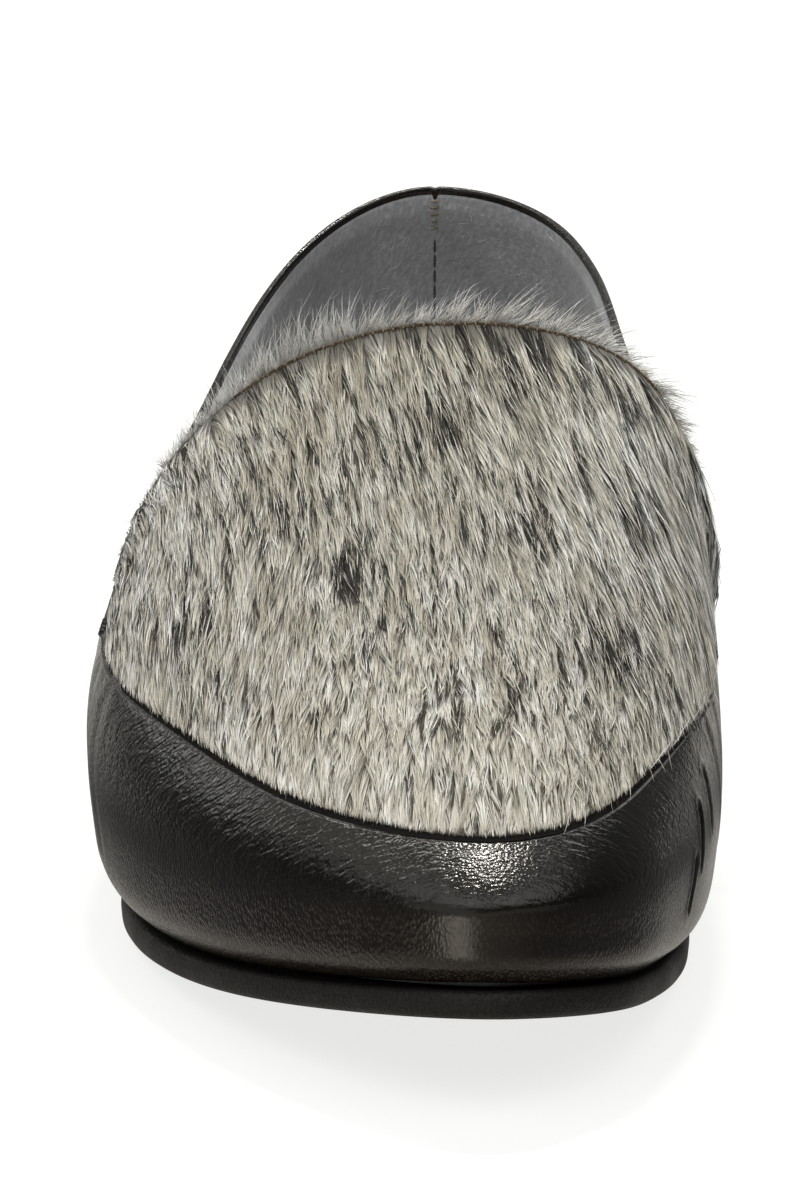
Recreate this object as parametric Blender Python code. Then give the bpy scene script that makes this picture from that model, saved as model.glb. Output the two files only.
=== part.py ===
"""Flat slip-on shoe for the right foot, in metres, standing on the floor at z = 0.

A leather band runs from a low toe guard round both sides to a closed heel, and a vamp of hair-on hide is
let into it. The vamp's back corners stand free of the quarters, which leaves an open notch on each side.
Stations are measured along the shoe from the back of the heel. The toe points to -Y and the medial side
is +X.
"""

import math

import bmesh
import bpy
import numpy as np

# Driving dimensions
LENGTH = 0.252
HEEL_HEIGHT = 0.014
TOE_SPRING = 0.014
SOLE_THICKNESS = 0.0035
SOLE_LIP = 0.0016
WALL = 0.0022
HIDE_RECESS = 0.0014
HIDE_NAP = 0.0008
INSOLE_THICKNESS = 0.0020
FLANGE = 0.0030
GAP = 0.0003

# Stations along the shoe
HEEL_BREAST = 0.052
BALL_REAR = 0.148
BALL_FRONT = 0.160
NOTCH = 0.143

# How far the back of the heel and the tip of the toe lie to the medial side of the axis
HEEL_SWING = 0.0015
TOE_SWING = 0.0115

# Rounding of the form at its two ends, and the turn of the upper under its widest line
NOSE_LENGTH = 0.034
BACK_LENGTH = 0.026
END_FULLNESS = 2.4
TURN_UNDER = math.radians(66)

# Edges of the sole and the heel block
SOLE_EDGE_ROUND = 0.0009
HEEL_INSET = 0.0012
HEEL_TAPER = 0.0018
BREAST_HOLLOW = 0.0030
BREAST_POINTS = 4

# Steps for slopes taken by small differences, and the angle past which the crest's own slope is used
PLAN_STEP = 1e-4
TURN_STEP = 1e-3
NEAR_ZERO = 1e-6
CREST_ZONE = math.radians(60)
HALVINGS = 40
SHARP_ANGLE = math.radians(40)

# Divisions of the surfaces
QUARTER_COLUMNS = 20
VAMP_COLUMNS = 23
UNDER_ROWS = 4
BAND_ROWS = 3
VAMP_ROWS = 7
ACROSS = 4

# Plan of the upper at its widest line: station, lateral reach, medial reach
PLAN = (
    (0.0095, 0.0170, 0.0195),
    (0.0320, 0.0270, 0.0285),
    (0.0620, 0.0315, 0.0310),
    (0.0940, 0.0360, 0.0345),
    (0.1240, 0.0403, 0.0390),
    (0.1500, 0.0424, 0.0402),
    (0.1760, 0.0410, 0.0403),
    (0.2020, 0.0330, 0.0380),
    (0.2240, 0.0210, 0.0330),
    (0.2400, 0.0080, 0.0265),
)

# Sections of the last: heights of the widest line and of the crest, the crest's offset from the axis,
# the fullness of each side (2 is an ellipse) and how far the wall tucks in under its widest line
SECTION_COLUMNS = ("station", "widest", "crest", "crest_x", "lateral_full", "medial_full", "tuck")
SECTIONS = (
    (0.000, 0.0380, 0.0810, 0.0015, 2.0, 2.0, 0.0080),
    (0.030, 0.0380, 0.0830, 0.0020, 2.0, 2.1, 0.0085),
    (0.060, 0.0365, 0.0835, 0.0030, 2.1, 2.3, 0.0100),
    (0.092, 0.0335, 0.0790, 0.0040, 2.1, 2.5, 0.0125),
    (0.120, 0.0300, 0.0700, 0.0048, 2.1, 2.9, 0.0125),
    (0.148, 0.0260, 0.0605, 0.0052, 2.1, 2.7, 0.0105),
    (0.176, 0.0220, 0.0525, 0.0060, 2.1, 2.35, 0.0095),
    (0.204, 0.0205, 0.0452, 0.0074, 2.0, 2.1, 0.0080),
    (0.228, 0.0225, 0.0390, 0.0092, 2.0, 2.0, 0.0065),
    (0.252, 0.0260, 0.0335, 0.0115, 2.0, 2.0, 0.0050),
)

# Height of the leather band's upper edge: the topline behind the notch, the vamp seam in front of it
EDGE_COLUMNS = ("station", "lateral", "medial")
EDGE = (
    (0.000, 0.0685, 0.0685),
    (0.015, 0.0608, 0.0652),
    (0.032, 0.0548, 0.0625),
    (0.060, 0.0490, 0.0588),
    (0.090, 0.0452, 0.0540),
    (0.118, 0.0418, 0.0465),
    (0.143, 0.0378, 0.0368),
    (0.170, 0.0352, 0.0338),
    (0.200, 0.0345, 0.0342),
    (0.230, 0.0332, 0.0337),
    (0.252, 0.0330, 0.0330),
)

# Where each line up the wall meets the crest, and how far it bows back on its way, which draws the
# rounded back corners of the vamp
RISE_COLUMNS = ("station", "crest_station", "bow")
RISE = (
    (0.000, 0.046, 0.000),
    (0.045, 0.058, 0.000),
    (0.085, 0.082, 0.004),
    (0.143, 0.122, 0.012),
    (0.185, 0.152, 0.006),
    (0.222, 0.190, 0.001),
    (0.252, 0.226, 0.000),
)

BLACK_LEATHER = ("black_leather", (0.012, 0.012, 0.013), 0.42)
HAIR_ON_HIDE = ("hair_on_hide", (0.42, 0.40, 0.36), 0.85)
SOLE_BLACK = ("sole_black", (0.016, 0.016, 0.017), 0.70)
HEEL_BLACK = ("heel_black", (0.014, 0.014, 0.015), 0.60)
CHARCOAL_LINING = ("charcoal_lining", (0.060, 0.063, 0.067), 0.95)


def natural_spline(stations, values):
    """Smooth curve through a value at each station, straight at both ends."""
    x = np.asarray(stations, float)
    y = np.asarray(values, float)
    step = np.diff(x)
    system = np.eye(len(x))
    right = np.zeros(len(x))
    for i in range(1, len(x) - 1):
        system[i, i - 1:i + 2] = step[i - 1], 2 * (step[i - 1] + step[i]), step[i]
        right[i] = 6 * ((y[i + 1] - y[i]) / step[i] - (y[i] - y[i - 1]) / step[i - 1])
    bend = np.linalg.solve(system, right)

    def value(station):
        t = np.clip(station, x[0], x[-1])
        i = np.clip(np.searchsorted(x, t) - 1, 0, len(x) - 2)
        before = x[i + 1] - t
        after = t - x[i]
        start = y[i] / step[i] - bend[i] * step[i] / 6
        end = y[i + 1] / step[i] - bend[i + 1] * step[i] / 6
        return (bend[i] * before**3 + bend[i + 1] * after**3) / (6 * step[i]) + start * before + end * after

    return value


def closed_spline(points):
    """Smooth closed curve through plan points, and the share of its way round at each of them."""
    p = np.asarray(points, float)
    count = len(p)
    step = np.linalg.norm(np.roll(p, -1, 0) - p, axis=1)
    system = np.zeros((count, count))
    right = np.zeros_like(p)
    for i in range(count):
        following = (i + 1) % count
        system[i, i - 1] = step[i - 1]
        system[i, i] = 2 * (step[i - 1] + step[i])
        system[i, following] = step[i]
        right[i] = 6 * ((p[following] - p[i]) / step[i] - (p[i] - p[i - 1]) / step[i - 1])
    bend = np.linalg.solve(system, right)
    knots = np.concatenate([[0.0], np.cumsum(step)])

    def point(share):
        t = (np.asarray(share, float) % 1.0) * knots[-1]
        i = np.clip(np.searchsorted(knots, t, side="right") - 1, 0, count - 1)
        j = (i + 1) % count
        before = (knots[i + 1] - t)[..., None]
        after = (t - knots[i])[..., None]
        length = step[i][..., None]
        curved = (bend[i] * before**3 + bend[j] * after**3) / (6 * length)
        start = p[i] / length - bend[i] * length / 6
        end = p[j] / length - bend[j] * length / 6
        return curved + start * before + end * after

    return point, knots / knots[-1]


def table_curves(rows, names):
    """One curve of the station for each further column of a table."""
    columns = list(zip(*rows))
    return {name: natural_spline(columns[0], columns[i]) for i, name in enumerate(names) if i > 0}


def plan_outline():
    """Closed plan curve: heel back, lateral side, toe tip, medial side."""
    lateral_side = [(-lateral, station) for station, lateral, medial in PLAN]
    medial_side = [(medial, station) for station, lateral, medial in reversed(PLAN)]
    curve, knots = closed_spline([(HEEL_SWING, 0.0), *lateral_side, (TOE_SWING, LENGTH), *medial_side])
    return curve, knots[len(PLAN) + 1]


SECTION = table_curves(SECTIONS, SECTION_COLUMNS)
EDGE_HEIGHT = table_curves(EDGE, EDGE_COLUMNS)
RISE_TO = table_curves(RISE, RISE_COLUMNS)
OUTLINE, TIP_SHARE = plan_outline()

# Fine samples of each side of the outline, from the heel to the toe
SIDE_SAMPLES = 1200
LATERAL_SHARE = np.linspace(0.0, TIP_SHARE, SIDE_SAMPLES)
MEDIAL_SHARE = np.linspace(1.0, TIP_SHARE, SIDE_SAMPLES)
LATERAL_LINE = OUTLINE(LATERAL_SHARE)
MEDIAL_LINE = OUTLINE(MEDIAL_SHARE)
AXIS_X = (LATERAL_LINE[:, 0].min() + MEDIAL_LINE[:, 0].max()) / 2


def side_reach(station, medial):
    """Plan offset of the outline on one side of the axis."""
    lateral_x = np.interp(station, LATERAL_LINE[:, 1], LATERAL_LINE[:, 0])
    medial_x = np.interp(station, MEDIAL_LINE[:, 1], MEDIAL_LINE[:, 0])
    return np.where(medial, medial_x, lateral_x)


def share_at(station, medial):
    """Share of the way round the outline at a station on one side."""
    if medial:
        return np.interp(station, MEDIAL_LINE[:, 1], MEDIAL_SHARE)
    return np.interp(station, LATERAL_LINE[:, 1], LATERAL_SHARE)


def smooth_step(t):
    t = np.clip(t, 0.0, 1.0)
    return t * t * (3 - 2 * t)


def tread(station):
    """Height of the sole's underside: level under the heel and the ball, with the arch and the toe spring."""
    arch = HEEL_HEIGHT * smooth_step((BALL_REAR - station) / (BALL_REAR - HEEL_BREAST))
    roll = np.clip((station - BALL_FRONT) / (LENGTH - BALL_FRONT), 0.0, 1.0)
    return arch + TOE_SPRING * roll**2


def seat(station):
    """Height at which the upper and the insole stand on the sole."""
    return tread(station) + SOLE_THICKNESS + GAP


def crest_height(station):
    """Top line of the form, rounded down to the widest line at the toe and at the heel."""
    widest = SECTION["widest"](station)
    nose = np.clip((station - LENGTH + NOSE_LENGTH) / NOSE_LENGTH, 0.0, 1.0)
    back = np.clip((BACK_LENGTH - station) / BACK_LENGTH, 0.0, 1.0)
    share = np.sqrt((1 - nose**END_FULLNESS) * (1 - back**END_FULLNESS))
    return widest + (SECTION["crest"](station) - widest) * share


def dome_height(x, station):
    """Height of the form over a plan point inside the outline."""
    crest_x = SECTION["crest_x"](station)
    medial = x > crest_x
    half = np.maximum(np.abs(side_reach(station, medial) - crest_x), NEAR_ZERO)
    out = np.clip(np.abs(x - crest_x) / half, 0.0, 1.0)
    full = np.where(medial, SECTION["medial_full"](station), SECTION["lateral_full"](station))
    widest = SECTION["widest"](station)
    return widest + (crest_height(station) - widest) * (1 - out**full) ** (1 / full)


def inward(share):
    """Plan direction into the outline, square to it."""
    along = OUTLINE(share + PLAN_STEP) - OUTLINE(share - PLAN_STEP)
    along /= np.linalg.norm(along, axis=-1, keepdims=True)
    return np.stack([along[..., 1], -along[..., 0]], -1)


def plan_to_space(x, station, z):
    return np.stack(np.broadcast_arrays(x - AXIS_X, LENGTH / 2 - station, z), -1)


def wall_above(share, angle):
    """Plan points on the lines that climb from the outline, at angle 0, to the crest, at a right angle."""
    foot = OUTLINE(share)
    foot_station = np.clip(foot[..., 1], 0.0, LENGTH)
    top_station = RISE_TO["crest_station"](foot_station)
    top = np.stack([SECTION["crest_x"](top_station), top_station], -1)
    x, station = np.moveaxis(top + (foot - top) * np.cos(angle)[..., None], -1, 0)
    bow = RISE_TO["bow"](foot_station) * np.sin(2 * angle)
    crest_x = SECTION["crest_x"](station)
    medial = x > crest_x
    half = side_reach(station, medial) - crest_x
    out = np.clip((x - crest_x) / np.where(np.abs(half) < NEAR_ZERO, NEAR_ZERO, half), 0.0, 1.0)
    bowed = station - bow
    bowed_crest = SECTION["crest_x"](bowed)
    bowed_x = bowed_crest + out * (side_reach(bowed, medial) - bowed_crest)
    return np.where(bow > NEAR_ZERO, bowed_x, x), bowed


def wall(share, angle):
    """Point of the upper's outer form. Angle 0 is its widest line, and below it the wall tucks in."""
    share, angle = np.broadcast_arrays(np.asarray(share, float), np.asarray(angle, float))
    x, station = wall_above(share, np.maximum(angle, 0.0))
    above = plan_to_space(x, station, dome_height(x, station))
    foot = OUTLINE(share)
    foot_station = np.clip(foot[..., 1], 0.0, LENGTH)
    under = np.maximum(-angle, 0.0)
    low = foot + inward(share) * (SECTION["tuck"](foot_station) * (1 - np.cos(under)))[..., None]
    widest = SECTION["widest"](foot_station)
    drop = (widest - seat(foot_station)) * np.sin(under) / math.sin(TURN_UNDER)
    below = plan_to_space(low[..., 0], low[..., 1], widest - drop)
    return np.where((angle < 0)[..., None], below, above)


def wall_normal(share, angle):
    """Outward direction of the form: from its slope near the crest, and from its two grid lines below."""
    share, angle = np.broadcast_arrays(np.asarray(share, float), np.asarray(angle, float))
    along = wall(share + PLAN_STEP, angle) - wall(share - PLAN_STEP, angle)
    up = wall(share, angle + TURN_STEP) - wall(share, angle - TURN_STEP)
    side = np.cross(along, up)
    x, station = wall_above(share, np.maximum(angle, 0.0))
    rise_x = dome_height(x + PLAN_STEP, station) - dome_height(x - PLAN_STEP, station)
    rise_y = dome_height(x, station - PLAN_STEP) - dome_height(x, station + PLAN_STEP)
    top = np.stack([-rise_x, -rise_y, np.full_like(rise_x, 2 * PLAN_STEP)], -1)
    normal = np.where((angle > CREST_ZONE)[..., None], top, side)
    return normal / np.linalg.norm(normal, axis=-1, keepdims=True)


def edge_angle(share):
    """Angle at which each line up the wall reaches the leather band's upper edge."""
    station = np.clip(OUTLINE(share)[..., 1], 0.0, LENGTH)
    goal = np.where(share > TIP_SHARE, EDGE_HEIGHT["medial"](station), EDGE_HEIGHT["lateral"](station))
    low = np.zeros_like(share)
    high = np.full_like(share, math.pi / 2)
    for _ in range(HALVINGS):
        middle = (low + high) / 2
        short = wall(share, middle)[..., 2] < goal
        low = np.where(short, middle, low)
        high = np.where(short, high, middle)
    return (low + high) / 2


# Grid of the upper: columns run round the shoe from the heel back by the lateral side, and the column of
# the same station on the medial side is as many columns back from the end. Rows climb the wall.
TIP_COLUMN = QUARTER_COLUMNS + VAMP_COLUMNS
COLUMNS = 2 * TIP_COLUMN
LATERAL_NOTCH = QUARTER_COLUMNS
MEDIAL_NOTCH = COLUMNS - QUARTER_COLUMNS
EDGE_ROW = UNDER_ROWS + BAND_ROWS
CREST_ROW = EDGE_ROW + VAMP_ROWS


def column_shares():
    notch_share = share_at(NOTCH, False)
    quarter = np.linspace(0.0, notch_share, QUARTER_COLUMNS, endpoint=False)
    lateral = np.concatenate([quarter, np.linspace(notch_share, TIP_SHARE, VAMP_COLUMNS + 1)])
    stations = OUTLINE(lateral)[:, 1]
    medial = share_at(stations[1:-1], True)[::-1]
    return np.concatenate([lateral, medial])


def row_angles(shares):
    """Angle of each row on each column, from the sole up to the crest."""
    edge = edge_angle(shares)
    under = [np.full_like(edge, -TURN_UNDER * (1 - row / UNDER_ROWS)) for row in range(UNDER_ROWS)]
    band = [edge * row / BAND_ROWS for row in range(BAND_ROWS + 1)]
    vamp = [edge + (math.pi / 2 - edge) * row / VAMP_ROWS for row in range(1, VAMP_ROWS + 1)]
    return np.stack(under + band + vamp)


SHARES = column_shares()
ANGLES = row_angles(SHARES)
FORM = wall(SHARES[None, :], ANGLES)
NORMAL = wall_normal(SHARES[None, :], ANGLES)
STATIONS = np.clip(OUTLINE(SHARES)[:, 1], 0.0, LENGTH)


def feather_ring(reach, shares=SHARES):
    """Plan points at a distance outside the line where the upper meets the sole."""
    foot = OUTLINE(shares)
    tuck = SECTION["tuck"](np.clip(foot[:, 1], 0.0, LENGTH)) * (1 - math.cos(TURN_UNDER))
    return foot + inward(shares) * (tuck - reach)[:, None]


def material(name, colour, roughness):
    made = bpy.data.materials.new(name)
    made.use_nodes = True
    shader = made.node_tree.nodes["Principled BSDF"]
    shader.inputs["Base Color"].default_value = (*colour, 1.0)
    shader.inputs["Roughness"].default_value = roughness
    return made


def solid(name, faces, place, finish):
    """Object from faces that name their corners, and the place of each corner."""
    corners = sorted({key for face in faces for key in face})
    number = {key: i for i, key in enumerate(corners)}
    loops = [[number[key] for key in face] for face in faces]
    mesh = bpy.data.meshes.new(name)
    mesh.from_pydata([place(key) for key in corners], [], loops)
    shape = bmesh.new()
    shape.from_mesh(mesh)
    bmesh.ops.recalc_face_normals(shape, faces=shape.faces)
    shape.to_mesh(mesh)
    shape.free()
    mesh.shade_smooth()
    mesh.set_sharp_from_angle(angle=SHARP_ANGLE)
    mesh.materials.append(material(*finish))
    made = bpy.data.objects.new(name, mesh)
    bpy.context.scene.collection.objects.link(made)
    return made


def corner(layer, row, column):
    """Name of a grid corner. Both sides share the corners on the crest."""
    column %= COLUMNS
    if row == CREST_ROW and column > TIP_COLUMN:
        column = COLUMNS - column
    return layer, row, column


def grid_face(layer, row, column):
    return [corner(layer, row, column), corner(layer, row, column + 1),
            corner(layer, row + 1, column + 1), corner(layer, row + 1, column)]


def rim_face(layer_a, layer_b, start, end):
    """Face between two layers along one grid edge, from start to end, each a (row, column)."""
    return [corner(layer_a, *start), corner(layer_a, *end), corner(layer_b, *end), corner(layer_b, *start)]


def vamp_faces(layer):
    return [grid_face(layer, row, column)
            for row in range(EDGE_ROW, CREST_ROW)
            for column in range(LATERAL_NOTCH, MEDIAL_NOTCH)]


def vamp_back_rim(outer, inner):
    """Rim of the vamp's free back edge, from each notch up to the throat."""
    return [rim_face(outer, inner, (row, column), (row + 1, column))
            for row in range(EDGE_ROW, CREST_ROW)
            for column in (LATERAL_NOTCH, MEDIAL_NOTCH)]


def make_upper():
    """Leather band and the backing of the vamp in one hollow wall, open below, at the collar and notches."""
    faces = vamp_faces("backing") + vamp_faces("inner") + vamp_back_rim("backing", "inner")
    for column in range(COLUMNS):
        faces += [grid_face(layer, row, column) for row in range(EDGE_ROW) for layer in ("outer", "inner")]
        faces.append(rim_face("outer", "inner", (0, column), (0, column + 1)))
    for column in range(LATERAL_NOTCH, MEDIAL_NOTCH):
        faces.append(rim_face("outer", "backing", (EDGE_ROW, column), (EDGE_ROW, column + 1)))
    for column in range(MEDIAL_NOTCH, COLUMNS + LATERAL_NOTCH):
        topline = rim_face("outer", "inner", (EDGE_ROW, column), (EDGE_ROW, column + 1))
        if column + 1 == COLUMNS + LATERAL_NOTCH:
            topline.insert(2, corner("backing", EDGE_ROW, column + 1))
        if column == MEDIAL_NOTCH:
            topline.append(corner("backing", EDGE_ROW, column))
        faces.append(topline)

    depth = {"outer": 0.0, "backing": -HIDE_RECESS, "inner": -WALL}
    flange = feather_ring(-FLANGE)
    flange_space = plan_to_space(flange[:, 0], flange[:, 1], seat(STATIONS))

    def place(name):
        layer, row, column = name
        if layer == "inner" and row == 0:
            return flange_space[column]
        return FORM[row, column] + depth[layer] * NORMAL[row, column]

    return solid("upper", faces, place, BLACK_LEATHER)


def make_vamp_hide():
    """Hair-on hide let into the step of the upper, with the nap's thickness standing a little proud."""
    faces = vamp_faces("nap") + vamp_faces("under") + vamp_back_rim("nap", "under")
    for column in range(LATERAL_NOTCH, MEDIAL_NOTCH):
        faces.append(rim_face("nap", "under", (EDGE_ROW, column), (EDGE_ROW, column + 1)))
    depth = {"nap": HIDE_NAP, "under": GAP - HIDE_RECESS}

    def place(name):
        layer, row, column = name
        point = FORM[row, column] + depth[layer] * NORMAL[row, column]
        if row == EDGE_ROW:
            climb = FORM[row + 1, column] - FORM[row, column]
            point = point + climb * (GAP / np.linalg.norm(climb))
        return point

    return solid("vamp_hide", faces, place, HAIR_ON_HIDE)


def plate_faces(layer):
    """Faces of a foot-shaped plate in strips across it, closed by triangles at the heel and the toe."""
    faces = []
    for row in range(1, TIP_COLUMN - 1):
        faces += [[(layer, row, k), (layer, row, k + 1), (layer, row + 1, k + 1), (layer, row + 1, k)]
                  for k in range(ACROSS)]
    for tip, row in ((0, 1), (TIP_COLUMN, TIP_COLUMN - 1)):
        faces += [[(layer, tip, 0), (layer, row, k), (layer, row, k + 1)] for k in range(ACROSS)]
    return faces


def plate_edge():
    """Corners round a plate, as (row, place across), in the order of the columns."""
    medial_rows = range(TIP_COLUMN - 1, 0, -1)
    return [(0, 0), *((row, 0) for row in range(1, TIP_COLUMN)), (TIP_COLUMN, 0),
            *((row, ACROSS) for row in medial_rows)]


def make_plate(name, layers, finish):
    """Foot-shaped plate. Each layer, from the top down, has its reach past the feather line and a height."""
    names = list(layers)
    faces = plate_faces(names[0]) + plate_faces(names[-1])
    edge = plate_edge()
    for upper_layer, lower_layer in zip(names, names[1:]):
        for i, here in enumerate(edge):
            following = edge[(i + 1) % len(edge)]
            faces.append([(upper_layer, *here), (upper_layer, *following),
                          (lower_layer, *following), (lower_layer, *here)])
    rings = {layer: feather_ring(reach) for layer, (reach, _) in layers.items()}

    def place(key):
        layer, row, k = key
        ring = rings[layer]
        start = ring[row]
        end = ring[-row if row else 0]
        x, station = start + (end - start) * k / ACROSS
        return plan_to_space(x, station, layers[layer][1](np.clip(station, 0.0, LENGTH)))

    return solid(name, faces, place, finish)


def make_outsole():
    """Thin sole with a rounded edge that stands out past the feather line as a lip."""
    layers = {
        "top": (SOLE_LIP - SOLE_EDGE_ROUND / 2, lambda s: tread(s) + SOLE_THICKNESS),
        "upper_edge": (SOLE_LIP, lambda s: tread(s) + SOLE_THICKNESS - SOLE_EDGE_ROUND),
        "lower_edge": (SOLE_LIP, lambda s: tread(s) + SOLE_EDGE_ROUND),
        "tread": (SOLE_LIP - SOLE_EDGE_ROUND, tread),
    }
    return make_plate("outsole", layers, SOLE_BLACK)


def make_insole():
    """Sock-covered board on the sole, inside the upper's turned-in flange."""
    reach = -FLANGE - GAP
    layers = {
        "top": (reach - GAP, lambda s: seat(s) + INSOLE_THICKNESS),
        "bottom": (reach, seat),
    }
    return make_plate("insole", layers, CHARCOAL_LINING)


def heel_ring(reach, breast):
    """Plan points round the heel block: back curve from the medial side, then the hollow breast."""
    columns = [c for c in range(1, TIP_COLUMN) if STATIONS[c] < HEEL_BREAST - BREAST_HOLLOW]
    shares = [share_at(HEEL_BREAST, True), *(SHARES[-c] for c in reversed(columns)), SHARES[0],
              *(SHARES[c] for c in columns), share_at(HEEL_BREAST, False)]
    back = feather_ring(reach, np.array(shares))
    back[[0, -1], 1] = breast
    turns = np.linspace(0.0, 1.0, BREAST_POINTS + 2)[1:-1, None]
    front = back[-1] + (back[0] - back[-1]) * turns
    front[:, 1] -= BREAST_HOLLOW * np.sin(math.pi * turns[:, 0])
    return np.concatenate([back, front])


def make_heel():
    """Low heel block under the sole's level seat, tapering a little to the floor."""
    rings = (
        plan_to_space(*heel_ring(SOLE_LIP - HEEL_INSET, HEEL_BREAST).T, HEEL_HEIGHT - GAP),
        plan_to_space(*heel_ring(SOLE_LIP - HEEL_INSET - HEEL_TAPER, HEEL_BREAST - HEEL_TAPER).T, 0.0),
    )
    count = len(rings[0])
    faces = [[(level, i) for i in range(count)] for level in (0, 1)]
    for i in range(count):
        j = (i + 1) % count
        faces.append([(0, i), (0, j), (1, j), (1, i)])
    return solid("heel", faces, lambda key: rings[key[0]][key[1]], HEEL_BLACK)


def main():
    for old in list(bpy.data.objects):
        bpy.data.objects.remove(old, do_unlink=True)
    make_upper()
    make_vamp_hide()
    make_outsole()
    make_heel()
    make_insole()


main()
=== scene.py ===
"""Looks of a flat slip-on shoe: leather band, hair-on hide, linings, sole and stitching around its solids.

Lengths are in metres and angles in radians. Stations run along the shoe from the back of the heel, the toe
points to -Y and the medial side is +X. The form is the one that the solids have, drawn finer.
"""

import functools
import math

import bmesh
import bpy
import numpy as np
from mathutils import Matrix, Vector
from mathutils.kdtree import KDTree


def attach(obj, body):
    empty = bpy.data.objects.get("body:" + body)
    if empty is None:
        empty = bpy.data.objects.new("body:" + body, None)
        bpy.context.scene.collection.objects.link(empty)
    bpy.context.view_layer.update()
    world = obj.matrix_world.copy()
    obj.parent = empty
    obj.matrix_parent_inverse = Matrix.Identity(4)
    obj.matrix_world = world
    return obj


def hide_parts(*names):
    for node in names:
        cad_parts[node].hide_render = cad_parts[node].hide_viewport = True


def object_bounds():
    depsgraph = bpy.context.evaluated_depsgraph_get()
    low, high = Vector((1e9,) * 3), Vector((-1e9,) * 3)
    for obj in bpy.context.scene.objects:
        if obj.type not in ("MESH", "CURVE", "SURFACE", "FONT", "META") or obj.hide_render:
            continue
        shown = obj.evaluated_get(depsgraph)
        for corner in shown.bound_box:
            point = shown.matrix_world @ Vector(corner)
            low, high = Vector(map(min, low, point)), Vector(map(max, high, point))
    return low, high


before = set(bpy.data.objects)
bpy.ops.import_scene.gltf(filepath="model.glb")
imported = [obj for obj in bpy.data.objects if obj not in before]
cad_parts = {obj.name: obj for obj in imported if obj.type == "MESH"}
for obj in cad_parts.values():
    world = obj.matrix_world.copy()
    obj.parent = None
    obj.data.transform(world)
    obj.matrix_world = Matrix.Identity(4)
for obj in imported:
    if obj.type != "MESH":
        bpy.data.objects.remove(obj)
CAD_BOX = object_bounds()
BODY = "root"

# Driving dimensions of the solids
LENGTH = 0.252
HEEL_HEIGHT = 0.014
TOE_SPRING = 0.014
# The tip of the sole has settled a little below the spring
TOE_DROP = 0.0008
SOLE_THICKNESS = 0.0035
SOLE_LIP = 0.0016
WALL = 0.0022
HIDE_RECESS = 0.0014
INSOLE_THICKNESS = 0.0020
FLANGE = 0.0030
GAP = 0.0003
HEEL_BREAST = 0.052
BALL_REAR = 0.148
BALL_FRONT = 0.160
NOTCH = 0.143
HEEL_SWING = 0.0015
TOE_SWING = 0.0115
NOSE_LENGTH = 0.034
BACK_LENGTH = 0.026
END_FULLNESS = 2.4
TURN_UNDER = math.radians(66)
HEEL_INSET = 0.0012
HEEL_TAPER = 0.0018
BREAST_HOLLOW = 0.0030

# Steps for slopes taken by small differences, the angle past which the crest's own slope is used, and the
# angle on both sides of the widest line where the wall stands upright
PLAN_STEP = 1e-4
TURN_STEP = 1e-3
NEAR_ZERO = 1e-6
CREST_ZONE = math.radians(60)
LEVEL_ZONE = math.radians(4.5)
HALVINGS = 40

# Plan of the upper at its widest line: station, lateral reach, medial reach
PLAN = (
    (0.0095, 0.0170, 0.0195),
    (0.0320, 0.0270, 0.0285),
    (0.0620, 0.0315, 0.0310),
    (0.0940, 0.0360, 0.0345),
    (0.1240, 0.0403, 0.0390),
    (0.1500, 0.0424, 0.0402),
    (0.1760, 0.0410, 0.0403),
    (0.2020, 0.0330, 0.0380),
    (0.2240, 0.0210, 0.0330),
    (0.2400, 0.0080, 0.0265),
)

# Sections of the last: heights of the widest line and of the crest, the crest's offset from the axis,
# the fullness of each side (2 is an ellipse) and how far the wall tucks in under its widest line
SECTION_COLUMNS = ("station", "widest", "crest", "crest_x", "lateral_full", "medial_full", "tuck")
SECTIONS = (
    (0.000, 0.0380, 0.0810, 0.0015, 2.0, 2.0, 0.0080),
    (0.030, 0.0380, 0.0830, 0.0020, 2.0, 2.1, 0.0085),
    (0.060, 0.0365, 0.0835, 0.0030, 2.1, 2.3, 0.0100),
    (0.092, 0.0335, 0.0790, 0.0040, 2.1, 2.5, 0.0125),
    (0.120, 0.0300, 0.0700, 0.0048, 2.1, 2.9, 0.0125),
    (0.148, 0.0260, 0.0605, 0.0052, 2.1, 2.7, 0.0105),
    (0.176, 0.0220, 0.0525, 0.0060, 2.1, 2.35, 0.0095),
    (0.204, 0.0205, 0.0452, 0.0074, 2.0, 2.1, 0.0080),
    (0.228, 0.0225, 0.0390, 0.0092, 2.0, 2.0, 0.0065),
    (0.252, 0.0260, 0.0335, 0.0115, 2.0, 2.0, 0.0050),
)

# Height of the leather band's upper edge: the topline behind the notch, the vamp seam in front of it
EDGE_COLUMNS = ("station", "lateral", "medial")
EDGE = (
    (0.000, 0.0685, 0.0685),
    (0.015, 0.0608, 0.0652),
    (0.032, 0.0548, 0.0625),
    (0.060, 0.0490, 0.0588),
    (0.090, 0.0452, 0.0540),
    (0.118, 0.0418, 0.0465),
    (0.143, 0.0378, 0.0368),
    (0.170, 0.0352, 0.0338),
    (0.200, 0.0345, 0.0342),
    (0.230, 0.0332, 0.0337),
    (0.252, 0.0330, 0.0330),
)

# Where each line up the wall meets the crest, and how far it bows back on its way
RISE_COLUMNS = ("station", "crest_station", "bow")
RISE = (
    (0.000, 0.046, 0.000),
    (0.045, 0.058, 0.000),
    (0.085, 0.082, 0.004),
    (0.143, 0.122, 0.012),
    (0.185, 0.152, 0.006),
    (0.222, 0.190, 0.001),
    (0.252, 0.226, 0.000),
)

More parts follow.
